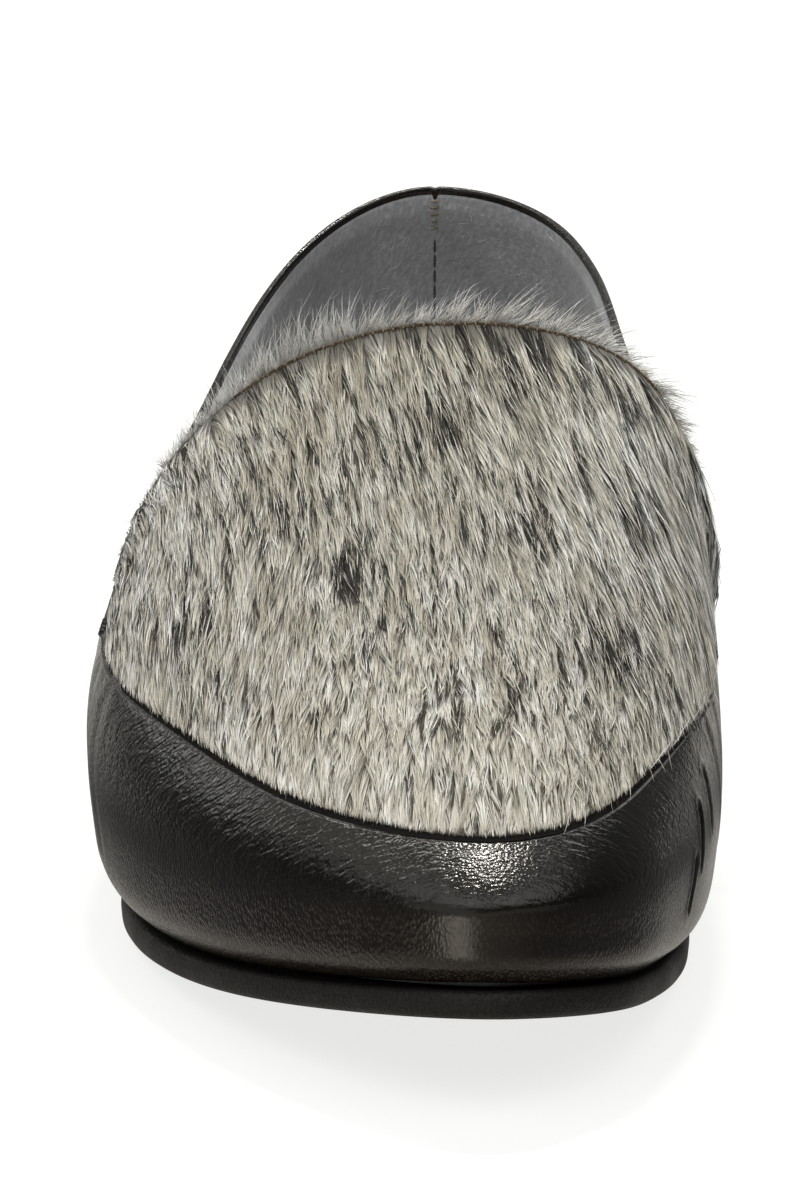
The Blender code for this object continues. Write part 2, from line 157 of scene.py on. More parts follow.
# Thicknesses and the folded edges of the band
LEATHER = 0.0012
EDGE_ROLL = 0.00055
LINING_DROP = 0.0010
SEAM_WIDTH = 0.0010
SEAM_SINK = 0.00022
SEAM_EDGE = 0.00035
# Rows and lift of the strip of painted shade that lies in the sunk seam
STRIP_ROWS = 5
STRIP_LIFT = 0.00004
TOPLINE_GROOVE_AT = 0.0013
TOPLINE_GROOVE_WIDTH = 0.00042
TOPLINE_GROOVE = 0.00020
BACK_SEAM_GROOVE = 0.00035
BACK_SEAM_WIDTH = 0.00045
NOTCH_BLEND = 0.008
FOOT_FULLNESS = 0.0007

# Stitches
STITCH_PITCH = 0.0025
STITCH_LENGTH = 0.0019
STITCH_RADIUS = 0.00015
STITCH_LIMIT = 0.05

# Divisions of the fine surfaces
BAND_COLUMNS = 600
FINE_STATIONS = (0.194, 0.228)
FINE_COLUMNS = 140
FINE_CLEAR = 0.0003
BAND_ROWS = 64
BAND_SPREAD = 1.5
INNER_ROWS = 10
ROLL_ROWS = 7
LINE_SAMPLES = 160
LINING_ROWS = 24
BACKING_ROWS = 8
VAMP_COLUMNS = 64
VAMP_ROWS = 36
SOLE_COLUMNS = 420
FLAT_ROWS = 8
EDGE_TURNS = 9

# Camera: its place, its turn, its tilt and its focal length in millimetres
CAMERA_PLACE = (0.0120, -0.8390, 0.2420)
CAMERA_YAW = math.radians(-0.88)
CAMERA_PITCH = math.radians(14.0)
CAMERA_LENS = 190.5


def between_knots(values, bend, step, i, j, before, after):
    """Cubic between two knots, from the values and bends at them and the distances to them."""
    start = values[i] / step - bend[i] * step / 6
    end = values[j] / step - bend[j] * step / 6
    return (bend[i] * before**3 + bend[j] * after**3) / (6 * step) + start * before + end * after


def natural_spline(stations, values):
    """Smooth curve through a value at each station, straight at both ends."""
    x = np.asarray(stations, float)
    y = np.asarray(values, float)
    step = np.diff(x)
    system = np.eye(len(x))
    right = np.zeros(len(x))
    for i in range(1, len(x) - 1):
        system[i, i - 1:i + 2] = step[i - 1], 2 * (step[i - 1] + step[i]), step[i]
        right[i] = 6 * ((y[i + 1] - y[i]) / step[i] - (y[i] - y[i - 1]) / step[i - 1])
    bend = np.linalg.solve(system, right)

    def value(station):
        t = np.clip(station, x[0], x[-1])
        i = np.clip(np.searchsorted(x, t) - 1, 0, len(x) - 2)
        return between_knots(y, bend, step[i], i, i + 1, x[i + 1] - t, t - x[i])

    return value


def closed_spline(points):
    """Smooth closed curve through plan points, and the share of its way round at each of them."""
    p = np.asarray(points, float)
    count = len(p)
    step = np.linalg.norm(np.roll(p, -1, 0) - p, axis=1)
    system = np.zeros((count, count))
    right = np.zeros_like(p)
    for i in range(count):
        following = (i + 1) % count
        system[i, i - 1] = step[i - 1]
        system[i, i] = 2 * (step[i - 1] + step[i])
        system[i, following] = step[i]
        right[i] = 6 * ((p[following] - p[i]) / step[i] - (p[i] - p[i - 1]) / step[i - 1])
    bend = np.linalg.solve(system, right)
    knots = np.concatenate([[0.0], np.cumsum(step)])

    def point(share):
        t = (np.asarray(share, float) % 1.0) * knots[-1]
        i = np.clip(np.searchsorted(knots, t, side="right") - 1, 0, count - 1)
        length, before, after = (v[..., None] for v in (step[i], knots[i + 1] - t, t - knots[i]))
        return between_knots(p, bend, length, i, (i + 1) % count, before, after)

    return point, knots / knots[-1]


def table_curves(rows, names):
    """One curve of the station for each further column of a table."""
    columns = list(zip(*rows))
    return {name: natural_spline(columns[0], columns[i]) for i, name in enumerate(names) if i > 0}


def read_table(rows, names, at):
    """Further columns of a table at places in its first one, by straight lines between its rows."""
    columns = np.array(rows).T
    return {name: np.interp(at, columns[0], column) for name, column in zip(names[1:], columns[1:])}


def way_along(points):
    """Length along a line of points up to each of them."""
    return np.concatenate([[0.0], np.cumsum(np.linalg.norm(np.diff(points, axis=0), axis=1))])


def read_along(at, way, values):
    """Vectors along a line at some of its lengths, by straight steps between those at its points."""
    return np.stack([np.interp(at, way, values[:, i]) for i in range(values.shape[1])], -1)


def plan_outline():
    """Closed plan curve: heel back, lateral side, toe tip, medial side."""
    lateral_side = [(-lateral, station) for station, lateral, medial in PLAN]
    medial_side = [(medial, station) for station, lateral, medial in reversed(PLAN)]
    curve, knots = closed_spline([(HEEL_SWING, 0.0), *lateral_side, (TOE_SWING, LENGTH), *medial_side])
    return curve, knots[len(PLAN) + 1]


SECTION = table_curves(SECTIONS, SECTION_COLUMNS)
EDGE_HEIGHT = table_curves(EDGE, EDGE_COLUMNS)
RISE_TO = table_curves(RISE, RISE_COLUMNS)
OUTLINE, TIP_SHARE = plan_outline()

# Fine samples of each side of the outline, from the heel to the toe
SIDE_SAMPLES = 1200
LATERAL_SHARE = np.linspace(0.0, TIP_SHARE, SIDE_SAMPLES)
MEDIAL_SHARE = np.linspace(1.0, TIP_SHARE, SIDE_SAMPLES)
LATERAL_LINE = OUTLINE(LATERAL_SHARE)
MEDIAL_LINE = OUTLINE(MEDIAL_SHARE)
AXIS_X = (LATERAL_LINE[:, 0].min() + MEDIAL_LINE[:, 0].max()) / 2
PERIMETER = sum(np.linalg.norm(np.diff(line, axis=0), axis=1).sum()
                for line in (LATERAL_LINE, MEDIAL_LINE))


def side_reach(station, medial):
    """Plan offset of the outline on one side of the axis."""
    lateral_x = np.interp(station, LATERAL_LINE[:, 1], LATERAL_LINE[:, 0])
    medial_x = np.interp(station, MEDIAL_LINE[:, 1], MEDIAL_LINE[:, 0])
    return np.where(medial, medial_x, lateral_x)


def share_at(station, medial):
    """Share of the way round the outline at a station on one side."""
    if medial:
        return np.interp(station, MEDIAL_LINE[:, 1], MEDIAL_SHARE)
    return np.interp(station, LATERAL_LINE[:, 1], LATERAL_SHARE)


def smooth_step(t):
    t = np.clip(t, 0.0, 1.0)
    return t * t * (3 - 2 * t)


def eased(value, start, length):
    """0 up to a start, 1 from a length after it, and smooth between."""
    return smooth_step((value - start) / length)


def hump(distance, width):
    """Soft bell, 1 in the middle."""
    return np.exp(-(distance / width) ** 2)


def tread(station):
    """Height of the sole's underside: level under the heel and the ball, with the arch and the toe spring."""
    arch = HEEL_HEIGHT * smooth_step((BALL_REAR - station) / (BALL_REAR - HEEL_BREAST))
    roll = np.clip((station - BALL_FRONT) / (LENGTH - BALL_FRONT), 0.0, 1.0)
    return arch + TOE_SPRING * roll**2 - TOE_DROP * roll**6


def seat(station):
    """Height at which the upper and the insole stand on the sole."""
    return tread(station) + SOLE_THICKNESS + GAP


def crest_height(station):
    """Top line of the form, rounded down to the widest line at the toe and at the heel."""
    widest = SECTION["widest"](station)
    nose = np.clip((station - LENGTH + NOSE_LENGTH) / NOSE_LENGTH, 0.0, 1.0)
    back = np.clip((BACK_LENGTH - station) / BACK_LENGTH, 0.0, 1.0)
    share = np.sqrt((1 - nose**END_FULLNESS) * (1 - back**END_FULLNESS))
    return widest + (SECTION["crest"](station) - widest) * share


def dome_height(x, station):
    """Height of the form over a plan point inside the outline."""
    crest_x = SECTION["crest_x"](station)
    medial = x > crest_x
    half = np.maximum(np.abs(side_reach(station, medial) - crest_x), NEAR_ZERO)
    out = np.clip(np.abs(x - crest_x) / half, 0.0, 1.0)
    full = np.where(medial, SECTION["medial_full"](station), SECTION["lateral_full"](station))
    widest = SECTION["widest"](station)
    return widest + (crest_height(station) - widest) * (1 - out**full) ** (1 / full)


def dome_normal(x, station):
    """Outward direction of the form over a plan point."""
    rise_x = dome_height(x + PLAN_STEP, station) - dome_height(x - PLAN_STEP, station)
    rise_y = dome_height(x, station - PLAN_STEP) - dome_height(x, station + PLAN_STEP)
    return unit(np.stack([-rise_x, -rise_y, np.full_like(rise_x, 2 * PLAN_STEP)], -1))


def unit(vectors):
    return vectors / np.maximum(np.linalg.norm(vectors, axis=-1, keepdims=True), 1e-12)


def inward(share):
    """Plan direction into the outline, square to it."""
    along = unit(OUTLINE(share + PLAN_STEP) - OUTLINE(share - PLAN_STEP))
    return np.stack([along[..., 1], -along[..., 0]], -1)


def plan_to_space(x, station, z):
    return np.stack(np.broadcast_arrays(x - AXIS_X, LENGTH / 2 - station, z), -1)


def wall_above(share, angle):
    """Plan points on the lines that climb from the outline, at angle 0, to the crest, at a right angle."""
    foot = OUTLINE(share)
    foot_station = np.clip(foot[..., 1], 0.0, LENGTH)
    top_station = RISE_TO["crest_station"](foot_station)
    top = np.stack([SECTION["crest_x"](top_station), top_station], -1)
    x, station = np.moveaxis(top + (foot - top) * np.cos(angle)[..., None], -1, 0)
    bow = RISE_TO["bow"](foot_station) * np.sin(2 * angle)
    crest_x = SECTION["crest_x"](station)
    medial = x > crest_x
    half = side_reach(station, medial) - crest_x
    out = np.clip((x - crest_x) / np.where(np.abs(half) < NEAR_ZERO, NEAR_ZERO, half), 0.0, 1.0)
    bowed = station - bow
    bowed_crest = SECTION["crest_x"](bowed)
    bowed_x = bowed_crest + out * (side_reach(bowed, medial) - bowed_crest)
    return np.where(bow > NEAR_ZERO, bowed_x, x), bowed


def wall(share, angle):
    """Point of the upper's outer form. Angle 0 is its widest line, and below it the wall tucks in."""
    share, angle = np.broadcast_arrays(np.asarray(share, float), np.asarray(angle, float))
    x, station = wall_above(share, np.maximum(angle, 0.0))
    above = plan_to_space(x, station, dome_height(x, station))
    foot = OUTLINE(share)
    foot_station = np.clip(foot[..., 1], 0.0, LENGTH)
    under = np.maximum(-angle, 0.0)
    low = foot + inward(share) * (SECTION["tuck"](foot_station) * (1 - np.cos(under)))[..., None]
    widest = SECTION["widest"](foot_station)
    drop = (widest - seat(foot_station)) * np.sin(under) / math.sin(TURN_UNDER)
    below = plan_to_space(low[..., 0], low[..., 1], widest - drop)
    return np.where((angle < 0)[..., None], below, above)


def wall_normal(share, angle):
    """Outward direction of the form: from its slope near the crest, and from its two grid lines below."""
    share, angle = np.broadcast_arrays(np.asarray(share, float), np.asarray(angle, float))
    along = wall(share + PLAN_STEP, angle) - wall(share - PLAN_STEP, angle)
    up = wall(share, angle + TURN_STEP) - wall(share, angle - TURN_STEP)
    x, station = wall_above(share, np.maximum(angle, 0.0))
    side = unit(np.cross(along, up))
    level = np.concatenate([-inward(share), np.zeros_like(share)[..., None]], -1) * (1, -1, 1)
    turned = smooth_step((np.abs(angle) - LEVEL_ZONE) / LEVEL_ZONE)[..., None]
    side = np.where(turned > 0, level + (side - level) * turned, level)
    return unit(np.where((angle > CREST_ZONE)[..., None], dome_normal(x, station), side))


def edge_angle(share):
    """Angle at which each line up the wall reaches the leather band's upper edge."""
    station = np.clip(OUTLINE(share)[..., 1], 0.0, LENGTH)
    goal = np.where(share > TIP_SHARE, EDGE_HEIGHT["medial"](station), EDGE_HEIGHT["lateral"](station))
    low = np.zeros_like(share)
    high = np.full_like(share, math.pi / 2)
    for _ in range(HALVINGS):
        middle = (low + high) / 2
        short = wall(share, middle)[..., 2] < goal
        low = np.where(short, middle, low)
        high = np.where(short, high, middle)
    return (low + high) / 2


def feather_ring(reach, shares):
    """Plan points at a distance outside the line where the upper meets the sole."""
    foot = OUTLINE(shares)
    tuck = SECTION["tuck"](np.clip(foot[:, 1], 0.0, LENGTH)) * (1 - math.cos(TURN_UNDER))
    return foot + inward(shares) * (tuck - reach)[:, None]


# Mesh making: name of the map that hairs take their colour from, width of a hair on it, and welding distance
BAKE_MAP = "OFBake"
TONE_WIDTH = 0.008
WELD = 1e-6

# A hair's width along its length: share at the root, how fast it swells, and the power of its taper
HAIR_ROOT_WIDTH = 0.55
HAIR_SWELL = 2.2
HAIR_TAPER = 2.2

# Shape of one stitch: sides, places along it, and its swell and dip there as shares of the radius
STITCH_SIDES = 6
STITCH_STEPS = np.array([0.0, 0.10, 0.30, 0.50, 0.70, 0.90, 1.0])
STITCH_SWELL = np.array([0.35, 0.80, 1.0, 1.0, 1.0, 0.80, 0.35])
STITCH_DIP = np.array([-1.3, -0.5, 0.1, 0.25, 0.1, -0.5, -1.3])


def grid_faces(rows, columns, close_rows=False, close_columns=False, first=0):
    """Quads of a grid of points that is stored row by row."""
    r, c = np.meshgrid(np.arange(rows if close_rows else rows - 1),
                       np.arange(columns if close_columns else columns - 1), indexing="ij")
    r = r.ravel()
    c = c.ravel()
    r_next = (r + 1) % rows
    c_next = (c + 1) % columns
    return first + np.stack([r * columns + c, r * columns + c_next,
                             r_next * columns + c_next, r_next * columns + c], 1)


def tube_faces(rings, sides):
    """Quads round a tube of rings of points, and the faces that close its two ends."""
    around = np.arange(sides)
    ends = np.stack([around[::-1], (rings - 1) * sides + around])
    return grid_faces(rings, sides, close_columns=True), ends


def piece(name, points, faces, finish, weld=0.0, sharp=None, uv=None):
    """Object that rides on the shoe, from its points and arrays of faces with the same number of corners."""
    points = np.asarray(points, np.float32).reshape(-1, 3)
    mesh = bpy.data.meshes.new(name)
    corners = np.concatenate([f.ravel() for f in faces]).astype(np.int32)
    sizes = np.concatenate([np.full(len(f), f.shape[1]) for f in faces])
    mesh.vertices.add(len(points))
    mesh.vertices.foreach_set("co", points.ravel())
    mesh.loops.add(len(corners))
    mesh.loops.foreach_set("vertex_index", corners)
    mesh.polygons.add(len(sizes))
    mesh.polygons.foreach_set("loop_start", (np.cumsum(sizes) - sizes).astype(np.int32))
    mesh.update(calc_edges=True)
    if uv is not None:
        layer = mesh.uv_layers.new(name=BAKE_MAP)
        layer.data.foreach_set("uv", np.asarray(uv, np.float32)[corners].ravel())
    if weld > 0:
        shape = bmesh.new()
        shape.from_mesh(mesh)
        bmesh.ops.remove_doubles(shape, verts=shape.verts, dist=weld)
        bmesh.ops.dissolve_degenerate(shape, edges=shape.edges, dist=weld)
        bmesh.ops.recalc_face_normals(shape, faces=shape.faces)
        shape.to_mesh(mesh)
        shape.free()
    mesh.shade_smooth()
    if sharp is not None:
        mesh.set_sharp_from_angle(angle=sharp)
    mesh.materials.append(finish)
    made = bpy.data.objects.new(name, mesh)
    bpy.context.scene.collection.objects.link(made)
    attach(made, BODY)
    return made


def ribbons(name, paths, normals, half_width, twist, tone, finish, root_shade=0.0):
    """Tapered flat hairs, one for each path of a few points, in one mesh. Tone and length make the map."""
    count, steps = paths.shape[:2]
    along = unit(np.gradient(paths, axis=1))
    across = unit(np.cross(along, normals))
    lifted = unit(np.cross(across, along))
    turned = across * np.cos(twist)[:, None, None] + lifted * np.sin(twist)[:, None, None]
    t = np.linspace(0.0, 1.0, steps)
    taper = np.minimum(1.0, HAIR_ROOT_WIDTH + HAIR_SWELL * t) * np.sqrt(np.clip(1 - t**HAIR_TAPER, 0, 1))
    offset = turned * (half_width[:, None] * taper)[..., None]
    left = paths[:, :-1] - offset[:, :-1]
    right = paths[:, :-1] + offset[:, :-1]
    sides = np.stack([left, right], 2).reshape(count, -1, 3)
    points = np.concatenate([sides, paths[:, -1:]], 1)
    per_hair = points.shape[1]
    base = (np.arange(count) * per_hair)[:, None]
    quad = np.array([[2 * k, 2 * k + 1, 2 * k + 3, 2 * k + 2] for k in range(steps - 2)])
    quads = (base[:, :, None] + quad[None]).reshape(-1, 4)
    tip = np.array([2 * steps - 4, 2 * steps - 3, 2 * steps - 2])
    tips = base + tip[None]
    u = np.concatenate([np.tile([0.0, TONE_WIDTH], steps - 1), [TONE_WIDTH / 2]])
    shade = np.broadcast_to(root_shade, count)[:, None]
    v = shade + (1 - shade) * np.concatenate([np.repeat(t[:-1], 2), [1.0]])
    uv = np.stack(np.broadcast_arrays(tone[:, None] * (1 - TONE_WIDTH) + u, v), -1).reshape(-1, 2)
    return piece(name, points, [quads, tips], finish, uv=uv)


def stitch_row(name, starts, ends, normals, radius, finish):
    """Row of short rounded stitches that dip in at both ends, in one mesh."""
    turn = np.linspace(0, 2 * math.pi, STITCH_SIDES, endpoint=False)
    along = unit(ends - starts)
    across = unit(np.cross(along, normals))
    up = np.cross(across, along)
    middle = starts[:, None] + (ends - starts)[:, None] * STITCH_STEPS[None, :, None]
    middle = middle + up[:, None] * (STITCH_DIP * radius)[None, :, None]
    spoke = across[:, None, None] * np.cos(turn)[None, None, :, None]
    spoke = spoke + up[:, None, None] * np.sin(turn)[None, None, :, None]
    points = middle[:, :, None] + spoke * (STITCH_SWELL * radius)[None, :, None, None]
    tube, caps = tube_faces(len(STITCH_STEPS), STITCH_SIDES)
    base = (np.arange(len(starts)) * len(STITCH_STEPS) * STITCH_SIDES)[:, None, None]
    faces = [(base + tube[None]).reshape(-1, 4), (base + caps[None]).reshape(-1, STITCH_SIDES)]
    return piece(name, points, faces, finish)


# Materials

# Leather: turn and scales of its fine creases, which run across the band and rise towards the vamp, in front
# and on the flanks, scales of its pebbles, and height of its relief
CREASE_TURN = math.radians(35)
FLANK_TURN = math.radians(10)
FRONT_CREASES = (450, 1250, 450)
FLANK_CREASES = (700, 700, 1300)
LEATHER_PEBBLES = (2700, 2700, 1500)
LEATHER_RELIEF = 0.00030

# Parts of the leather by the way that it faces: range of one direction, and the share at both of its ends
FLANK = (0.80, 0.93)
TOE_MIDDLE = (0.12, 0.50, 0.30, 0.74)
NOSE = (-0.95, -0.70, 0.15, 1.0)
UPPER_SIDE = (-0.20, 0.25)
MEDIAL_CALM = (0.30, 0.65, 1.0, 0.55)
# Faces that turn down, which take the painted reflection of the floor
FLOOR_REFLECTION_FACING = (-0.35, 0.10, 1.0, 0.0)

# Strength of the grain from the underside to the upper side, and from the nose to the rest
GRAIN_SIDES = (0.32, 0.14)
NOSE_GRAIN = (0.15, 1.0, 0.25, 1.0)


def srgb(red, green, blue):
    """Linear colour of 8-bit display values."""
    value = np.array([red, green, blue]) / 255
    linear = np.where(value <= 0.04045, value / 12.92, ((value + 0.055) / 1.055) ** 2.4)
    return (*linear.tolist(), 1.0)


class Nodes:
    """Short calls to add nodes to a tree."""

    def __init__(self, tree):
        self.tree = tree

    def put(self, socket, value):
        if isinstance(value, bpy.types.NodeSocket):
            self.tree.links.new(value, socket)
        else:
            socket.default_value = value

    def node(self, kind, inputs=None, **settings):
        made = self.tree.nodes.new(kind)
        for name, value in settings.items():
            setattr(made, name, value)
        for name, value in (inputs or {}).items():
            self.put(made.inputs[name], value)
        return made

    def split(self, vector):
        """The three parts of a vector, by their letters."""
        return self.node("ShaderNodeSeparateXYZ", {"Vector": vector}).outputs

    def ramp(self, value, *stops):
        """Colour ramp from (position, colour) stops."""
        made = self.node("ShaderNodeValToRGB", {"Fac": value})
        elements = made.color_ramp.elements
        while len(elements) < len(stops):
            elements.new(0.5)
        for element, (position, colour) in zip(elements, stops):
            element.position = position
            element.color = colour
        return made.outputs["Color"]

    def span(self, value, low, high, to_low=0.0, to_high=1.0):
        """Value mapped from one range to another, and held at its ends."""
        inputs = {"Value": value, "From Min": low, "From Max": high, "To Min": to_low, "To Max": to_high}
        return self.node("ShaderNodeMapRange", inputs).outputs["Result"]

    def math(self, operation, a, b):
        made = self.node("ShaderNodeMath", operation=operation)
        self.put(made.inputs[0], a)
        self.put(made.inputs[1], b)
        return made.outputs[0]

    def product(self, *values):
        """All the values multiplied, one after the other."""
        return functools.reduce(lambda a, b: self.math("MULTIPLY", a, b), values)

    def mix(self, factor, a, b, blend="MIX"):
        made = self.node("ShaderNodeMix", data_type="RGBA", blend_type=blend)
        colour_sockets = [s for s in made.inputs if s.type == "RGBA"]
        self.put(made.inputs["Factor"], factor)
        self.put(colour_sockets[0], a)
        self.put(colour_sockets[1], b)
        return next(s for s in made.outputs if s.type == "RGBA")


class Finish(Nodes):
    """Material with one Principled shader, and calls for its textures and relief."""

    def __init__(self, name, **sockets):
        self.material = bpy.data.materials.new(name)
        self.material.use_nodes = True
        super().__init__(self.material.node_tree)
        self.shader = self.tree.nodes["Principled BSDF"]
        self.place = self.node("ShaderNodeTexCoord").outputs["Object"]
        self.set(**sockets)

    def set(self, **sockets):
        for name, value in sockets.items():
            self.put(self.shader.inputs[name.replace("_", " ")], value)

    def stretched(self, scale, turn=(0, 0, 0)):
        """Object coordinates turned, and then scaled along each turned axis."""
        inputs = {"Vector": self.place, "Scale": [1 / value for value in scale], "Rotation": turn}
        return self.node("ShaderNodeMapping", inputs, vector_type="TEXTURE").outputs[0]

    def noise(self, scale, detail=3.0, roughness=0.55, vector=None, distortion=0.0):
        inputs = {"Vector": vector or self.place, "Scale": scale, "Detail": detail, "Roughness": roughness,
                  "Distortion": distortion}
        return self.node("ShaderNodeTexNoise", inputs).outputs["Fac"]

    def cells(self, vector):
        """Rounded cells, low between them."""
        inputs = {"Vector": vector, "Scale": 1.0, "Smoothness": 0.35}
        distance = self.node("ShaderNodeTexVoronoi", inputs, feature="SMOOTH_F1").outputs["Distance"]
        return self.span(distance, 0.0, 0.7, 1.0, 0.0)

    def crease_waves(self, scale, turn):
        """Short waves, drawn out along an axis that is turned about the shoe's width."""
        vector = self.stretched(scale, (turn, 0, 0))
        return self.noise(1.0, detail=0.8, roughness=0.4, vector=vector, distortion=0.9)

    def blend(self, factor, a, b):
        """Value from one to another by a share."""
        return self.math("ADD", self.math("MULTIPLY", self.math("SUBTRACT", 1.0, factor), a),
                         self.math("MULTIPLY", factor, b))

    def tones(self, value, *stops):
        """Colour ramp from (position, display colour) stops."""
        return self.ramp(value, *((position, srgb(*colour)) for position, colour in stops))

    def bump(self, height, distance, strength=1.0):
        """Relief of a height from 0 to 1 over a distance in metres."""
        inputs = {"Height": height, "Distance": distance, "Strength": strength}
        return self.node("ShaderNodeBump", inputs).outputs["Normal"]


def grey(value):
    return (value, value, value, 1.0)


# Ends of the range that a noise texture mostly keeps to
NOISE = (0.3, 0.7)


def leather_finish():
    """Black leather: pebble grain, fine creases across the form with few over its nose, a soft gloss, and a
    paler brown painted on the faces that turn down as a reflection of the floor.
    """
    f = Finish("black_leather", Specular_IOR_Level=0.36, Specular_Tint=(1.0, 0.96, 0.89, 1.0))
    at_front = f.crease_waves(FRONT_CREASES, CREASE_TURN)
    on_flank = f.crease_waves(FLANK_CREASES, FLANK_TURN)
    pebbles = f.cells(f.stretched(LEATHER_PEBBLES))
    broad = f.noise(110, detail=2.0)
    dull = f.noise(45, detail=4.0, roughness=0.6)
    facing = f.split(f.node("ShaderNodeTexCoord").outputs["Normal"])
    sideways = f.math("ABSOLUTE", facing["X"], 0.0)
    wave = f.blend(f.span(sideways, *FLANK), at_front, on_flank)
    middle = f.span(sideways, *TOE_MIDDLE)
    nose = f.span(facing["Y"], *NOSE)
    upper = f.span(facing["Z"], *UPPER_SIDE)
    calm = f.span(facing["X"], *MEDIAL_CALM)
    strength = f.product(nose, upper, calm, middle, f.span(broad, 0.35, 0.65, 0.8, 1.2))
    grain = f.product(f.span(upper, 0.0, 1.0, *GRAIN_SIDES), f.span(nose, *NOSE_GRAIN))
    relief = f.product(pebbles, calm, grain)
    height = f.math("ADD", f.product(wave, strength), relief)
    black = f.tones(broad, (0.3, (12, 11, 9)), (0.7, (21, 18, 15)))
    # Faces that turn down take a paler brown: a painted reflection of the floor
    painted_floor_reflection = f.tones(pebbles, (0.3, (24, 19, 15)), (0.8, (52, 42, 33)))
    f.set(Base_Color=f.mix(f.span(facing["Z"], *FLOOR_REFLECTION_FACING), black, painted_floor_reflection),
          Roughness=f.span(dull, *NOISE, 0.18, 0.30),
          Normal=f.bump(height, LEATHER_RELIEF))
    return f.material


def seam_shade_finish():
    """Matte black painted shade of the sunk seam."""
    f = Finish("seam_painted_shade", Specular_IOR_Level=0.08, Roughness=0.85)
    fine = f.noise(1500, detail=2.0)
    f.set(Base_Color=f.tones(fine, (0.3, (9, 8, 7)), (0.7, (19, 17, 16))),
          Normal=f.bump(fine, 0.00012))
    return f.material


def lining_finish():
    """Charcoal felted lining with paler fibres."""
    f = Finish("charcoal_lining", Specular_IOR_Level=0.2, Sheen_Weight=0.25, Sheen_Roughness=0.5)
    fibre = f.noise(1.0, detail=4.0, roughness=0.7, vector=f.stretched((2600, 1100, 900), (0.4, 0.3, 0.8)))
    patch = f.noise(60, detail=3.0)
    tone = f.math("ADD", f.product(fibre, 0.6), f.product(patch, 0.4))
    greys = f.tones(tone, (0.30, (111, 111, 112)), (0.52, (145, 145, 146)), (0.72, (189, 189, 190)))
    f.set(Base_Color=greys,
          Roughness=f.span(fibre, *NOISE, 0.82, 0.98),
          Normal=f.bump(fibre, 0.00022, strength=0.7))
    return f.material


# Finishes of one mottle. The hide's skin is only seen between the hairs, and its edge is raw where it is
# folded at the throat. By name: specular level, scale and detail of the mottle, places on it and display
# colours from dark to pale, roughness at its two ends and height of its relief
MOTTLED = {
    "hide_skin": (0.2, 700, 3.0, ((0.3, (44, 40, 35)), (0.7, (96, 89, 78))), (0.8, 0.95), 0.0002),
    "folded_hide_edge": (0.2, 1500, 3.0, ((0.3, (50, 42, 34)), (0.55, (88, 76, 60)), (0.75, (128, 113, 92))),
                         (0.7, 0.9), 0.0002),
    "black_thread": (0.35, 5200, 2.0, ((0.3, (9, 8, 8)), (0.7, (22, 21, 20))), (0.5, 0.7), 0.00008),
    "grey_thread": (0.35, 5200, 2.0, ((0.3, (46, 46, 47)), (0.7, (72, 72, 73))), (0.5, 0.7), 0.00008),
    "tan_thread": (0.35, 5200, 2.0, ((0.3, (84, 70, 52)), (0.7, (142, 122, 94))), (0.5, 0.7), 0.00008),
}


def mottled_finish(name):
    """Material with one fine mottle that shades its colour, roughness and relief."""
    specular, scale, detail, stops, roughness, relief = MOTTLED[name]
    f = Finish(name, Specular_IOR_Level=specular)
    mottle = f.noise(scale, detail=detail)
    f.set(Base_Color=f.tones(mottle, *stops),
          Roughness=f.span(mottle, *NOISE, *roughness),
          Normal=f.bump(mottle, relief))
    return f.material


# Hair colours from the darkest to the whitest: place on the scale and display colour
HAIR_TONES = (
    (0.00, (24, 22, 20)),
    (0.20, (56, 52, 46)),
    (0.40, (106, 100, 88)),
    (0.58, (156, 149, 132)),
    (0.74, (194, 188, 172)),
    (0.88, (216, 212, 201)),
    (1.00, (232, 231, 227)),
)

# Brightness of a hair from its root to its tip: share of the length and brightness
# The darker root is partly the hair's own banding and partly painted shade between the locks
HAIR_BANDING_AND_SHADE = ((0.0, 0.20), (0.42, 0.40), (0.70, 0.90), (0.84, 1.0))


def hair_finish():
    """Hair coloured by its tone across the map, and darker at the root along it: partly its own banding,
    partly painted shade.
    """
    f = Finish("hair_on_hide", Roughness=0.6, Specular_IOR_Level=0.16)
    spot = f.node("ShaderNodeUVMap", uv_map=BAKE_MAP).outputs["UV"]
    place = f.split(spot)
    colour = f.tones(place["X"], *HAIR_TONES)
    # Darker roots: partly the hair's own banding and partly painted shade between the locks
    depth = f.ramp(place["Y"], *((at, grey(bright)) for at, bright in HAIR_BANDING_AND_SHADE))
    f.set(Base_Color=f.mix(1.0, colour, depth, "MULTIPLY"))
    return f.material


# Height up to which the sole and the heel are scuffed
SCUFF_HEIGHT = 0.0022


def rubber_finish(name, low, high, wear):
    """Matte black sole material with fine pebbles, scuffed paler where it treads."""
    f = Finish(name, Specular_IOR_Level=0.20, Specular_Tint=(1.0, 0.97, 0.92, 1.0))
    fine = f.noise(2600, detail=3.0, roughness=0.65)
    patch = f.noise(85, detail=4.0, roughness=0.65)
    pebbles = f.cells(f.stretched((2400, 2400, 2400)))
    height = f.split(f.place)["Z"]
    trodden = f.product(f.span(height, SCUFF_HEIGHT, 0.0), f.span(patch, 0.42, 0.62))
    relief = f.math("ADD", f.product(pebbles, 0.6), f.product(fine, 0.6))
    f.set(Base_Color=f.mix(trodden, f.tones(fine, (0.3, low), (0.7, high)), srgb(*wear)),
          Roughness=f.span(patch, *NOISE, 0.46, 0.64),
          Normal=f.bump(relief, 0.00018))
    return f.material


# Leather band


def front_share(station):
    """0 along the topline, 1 along the vamp seam, easing over the notch."""
    return smooth_step((station - NOTCH + NOTCH_BLEND / 2) / NOTCH_BLEND)


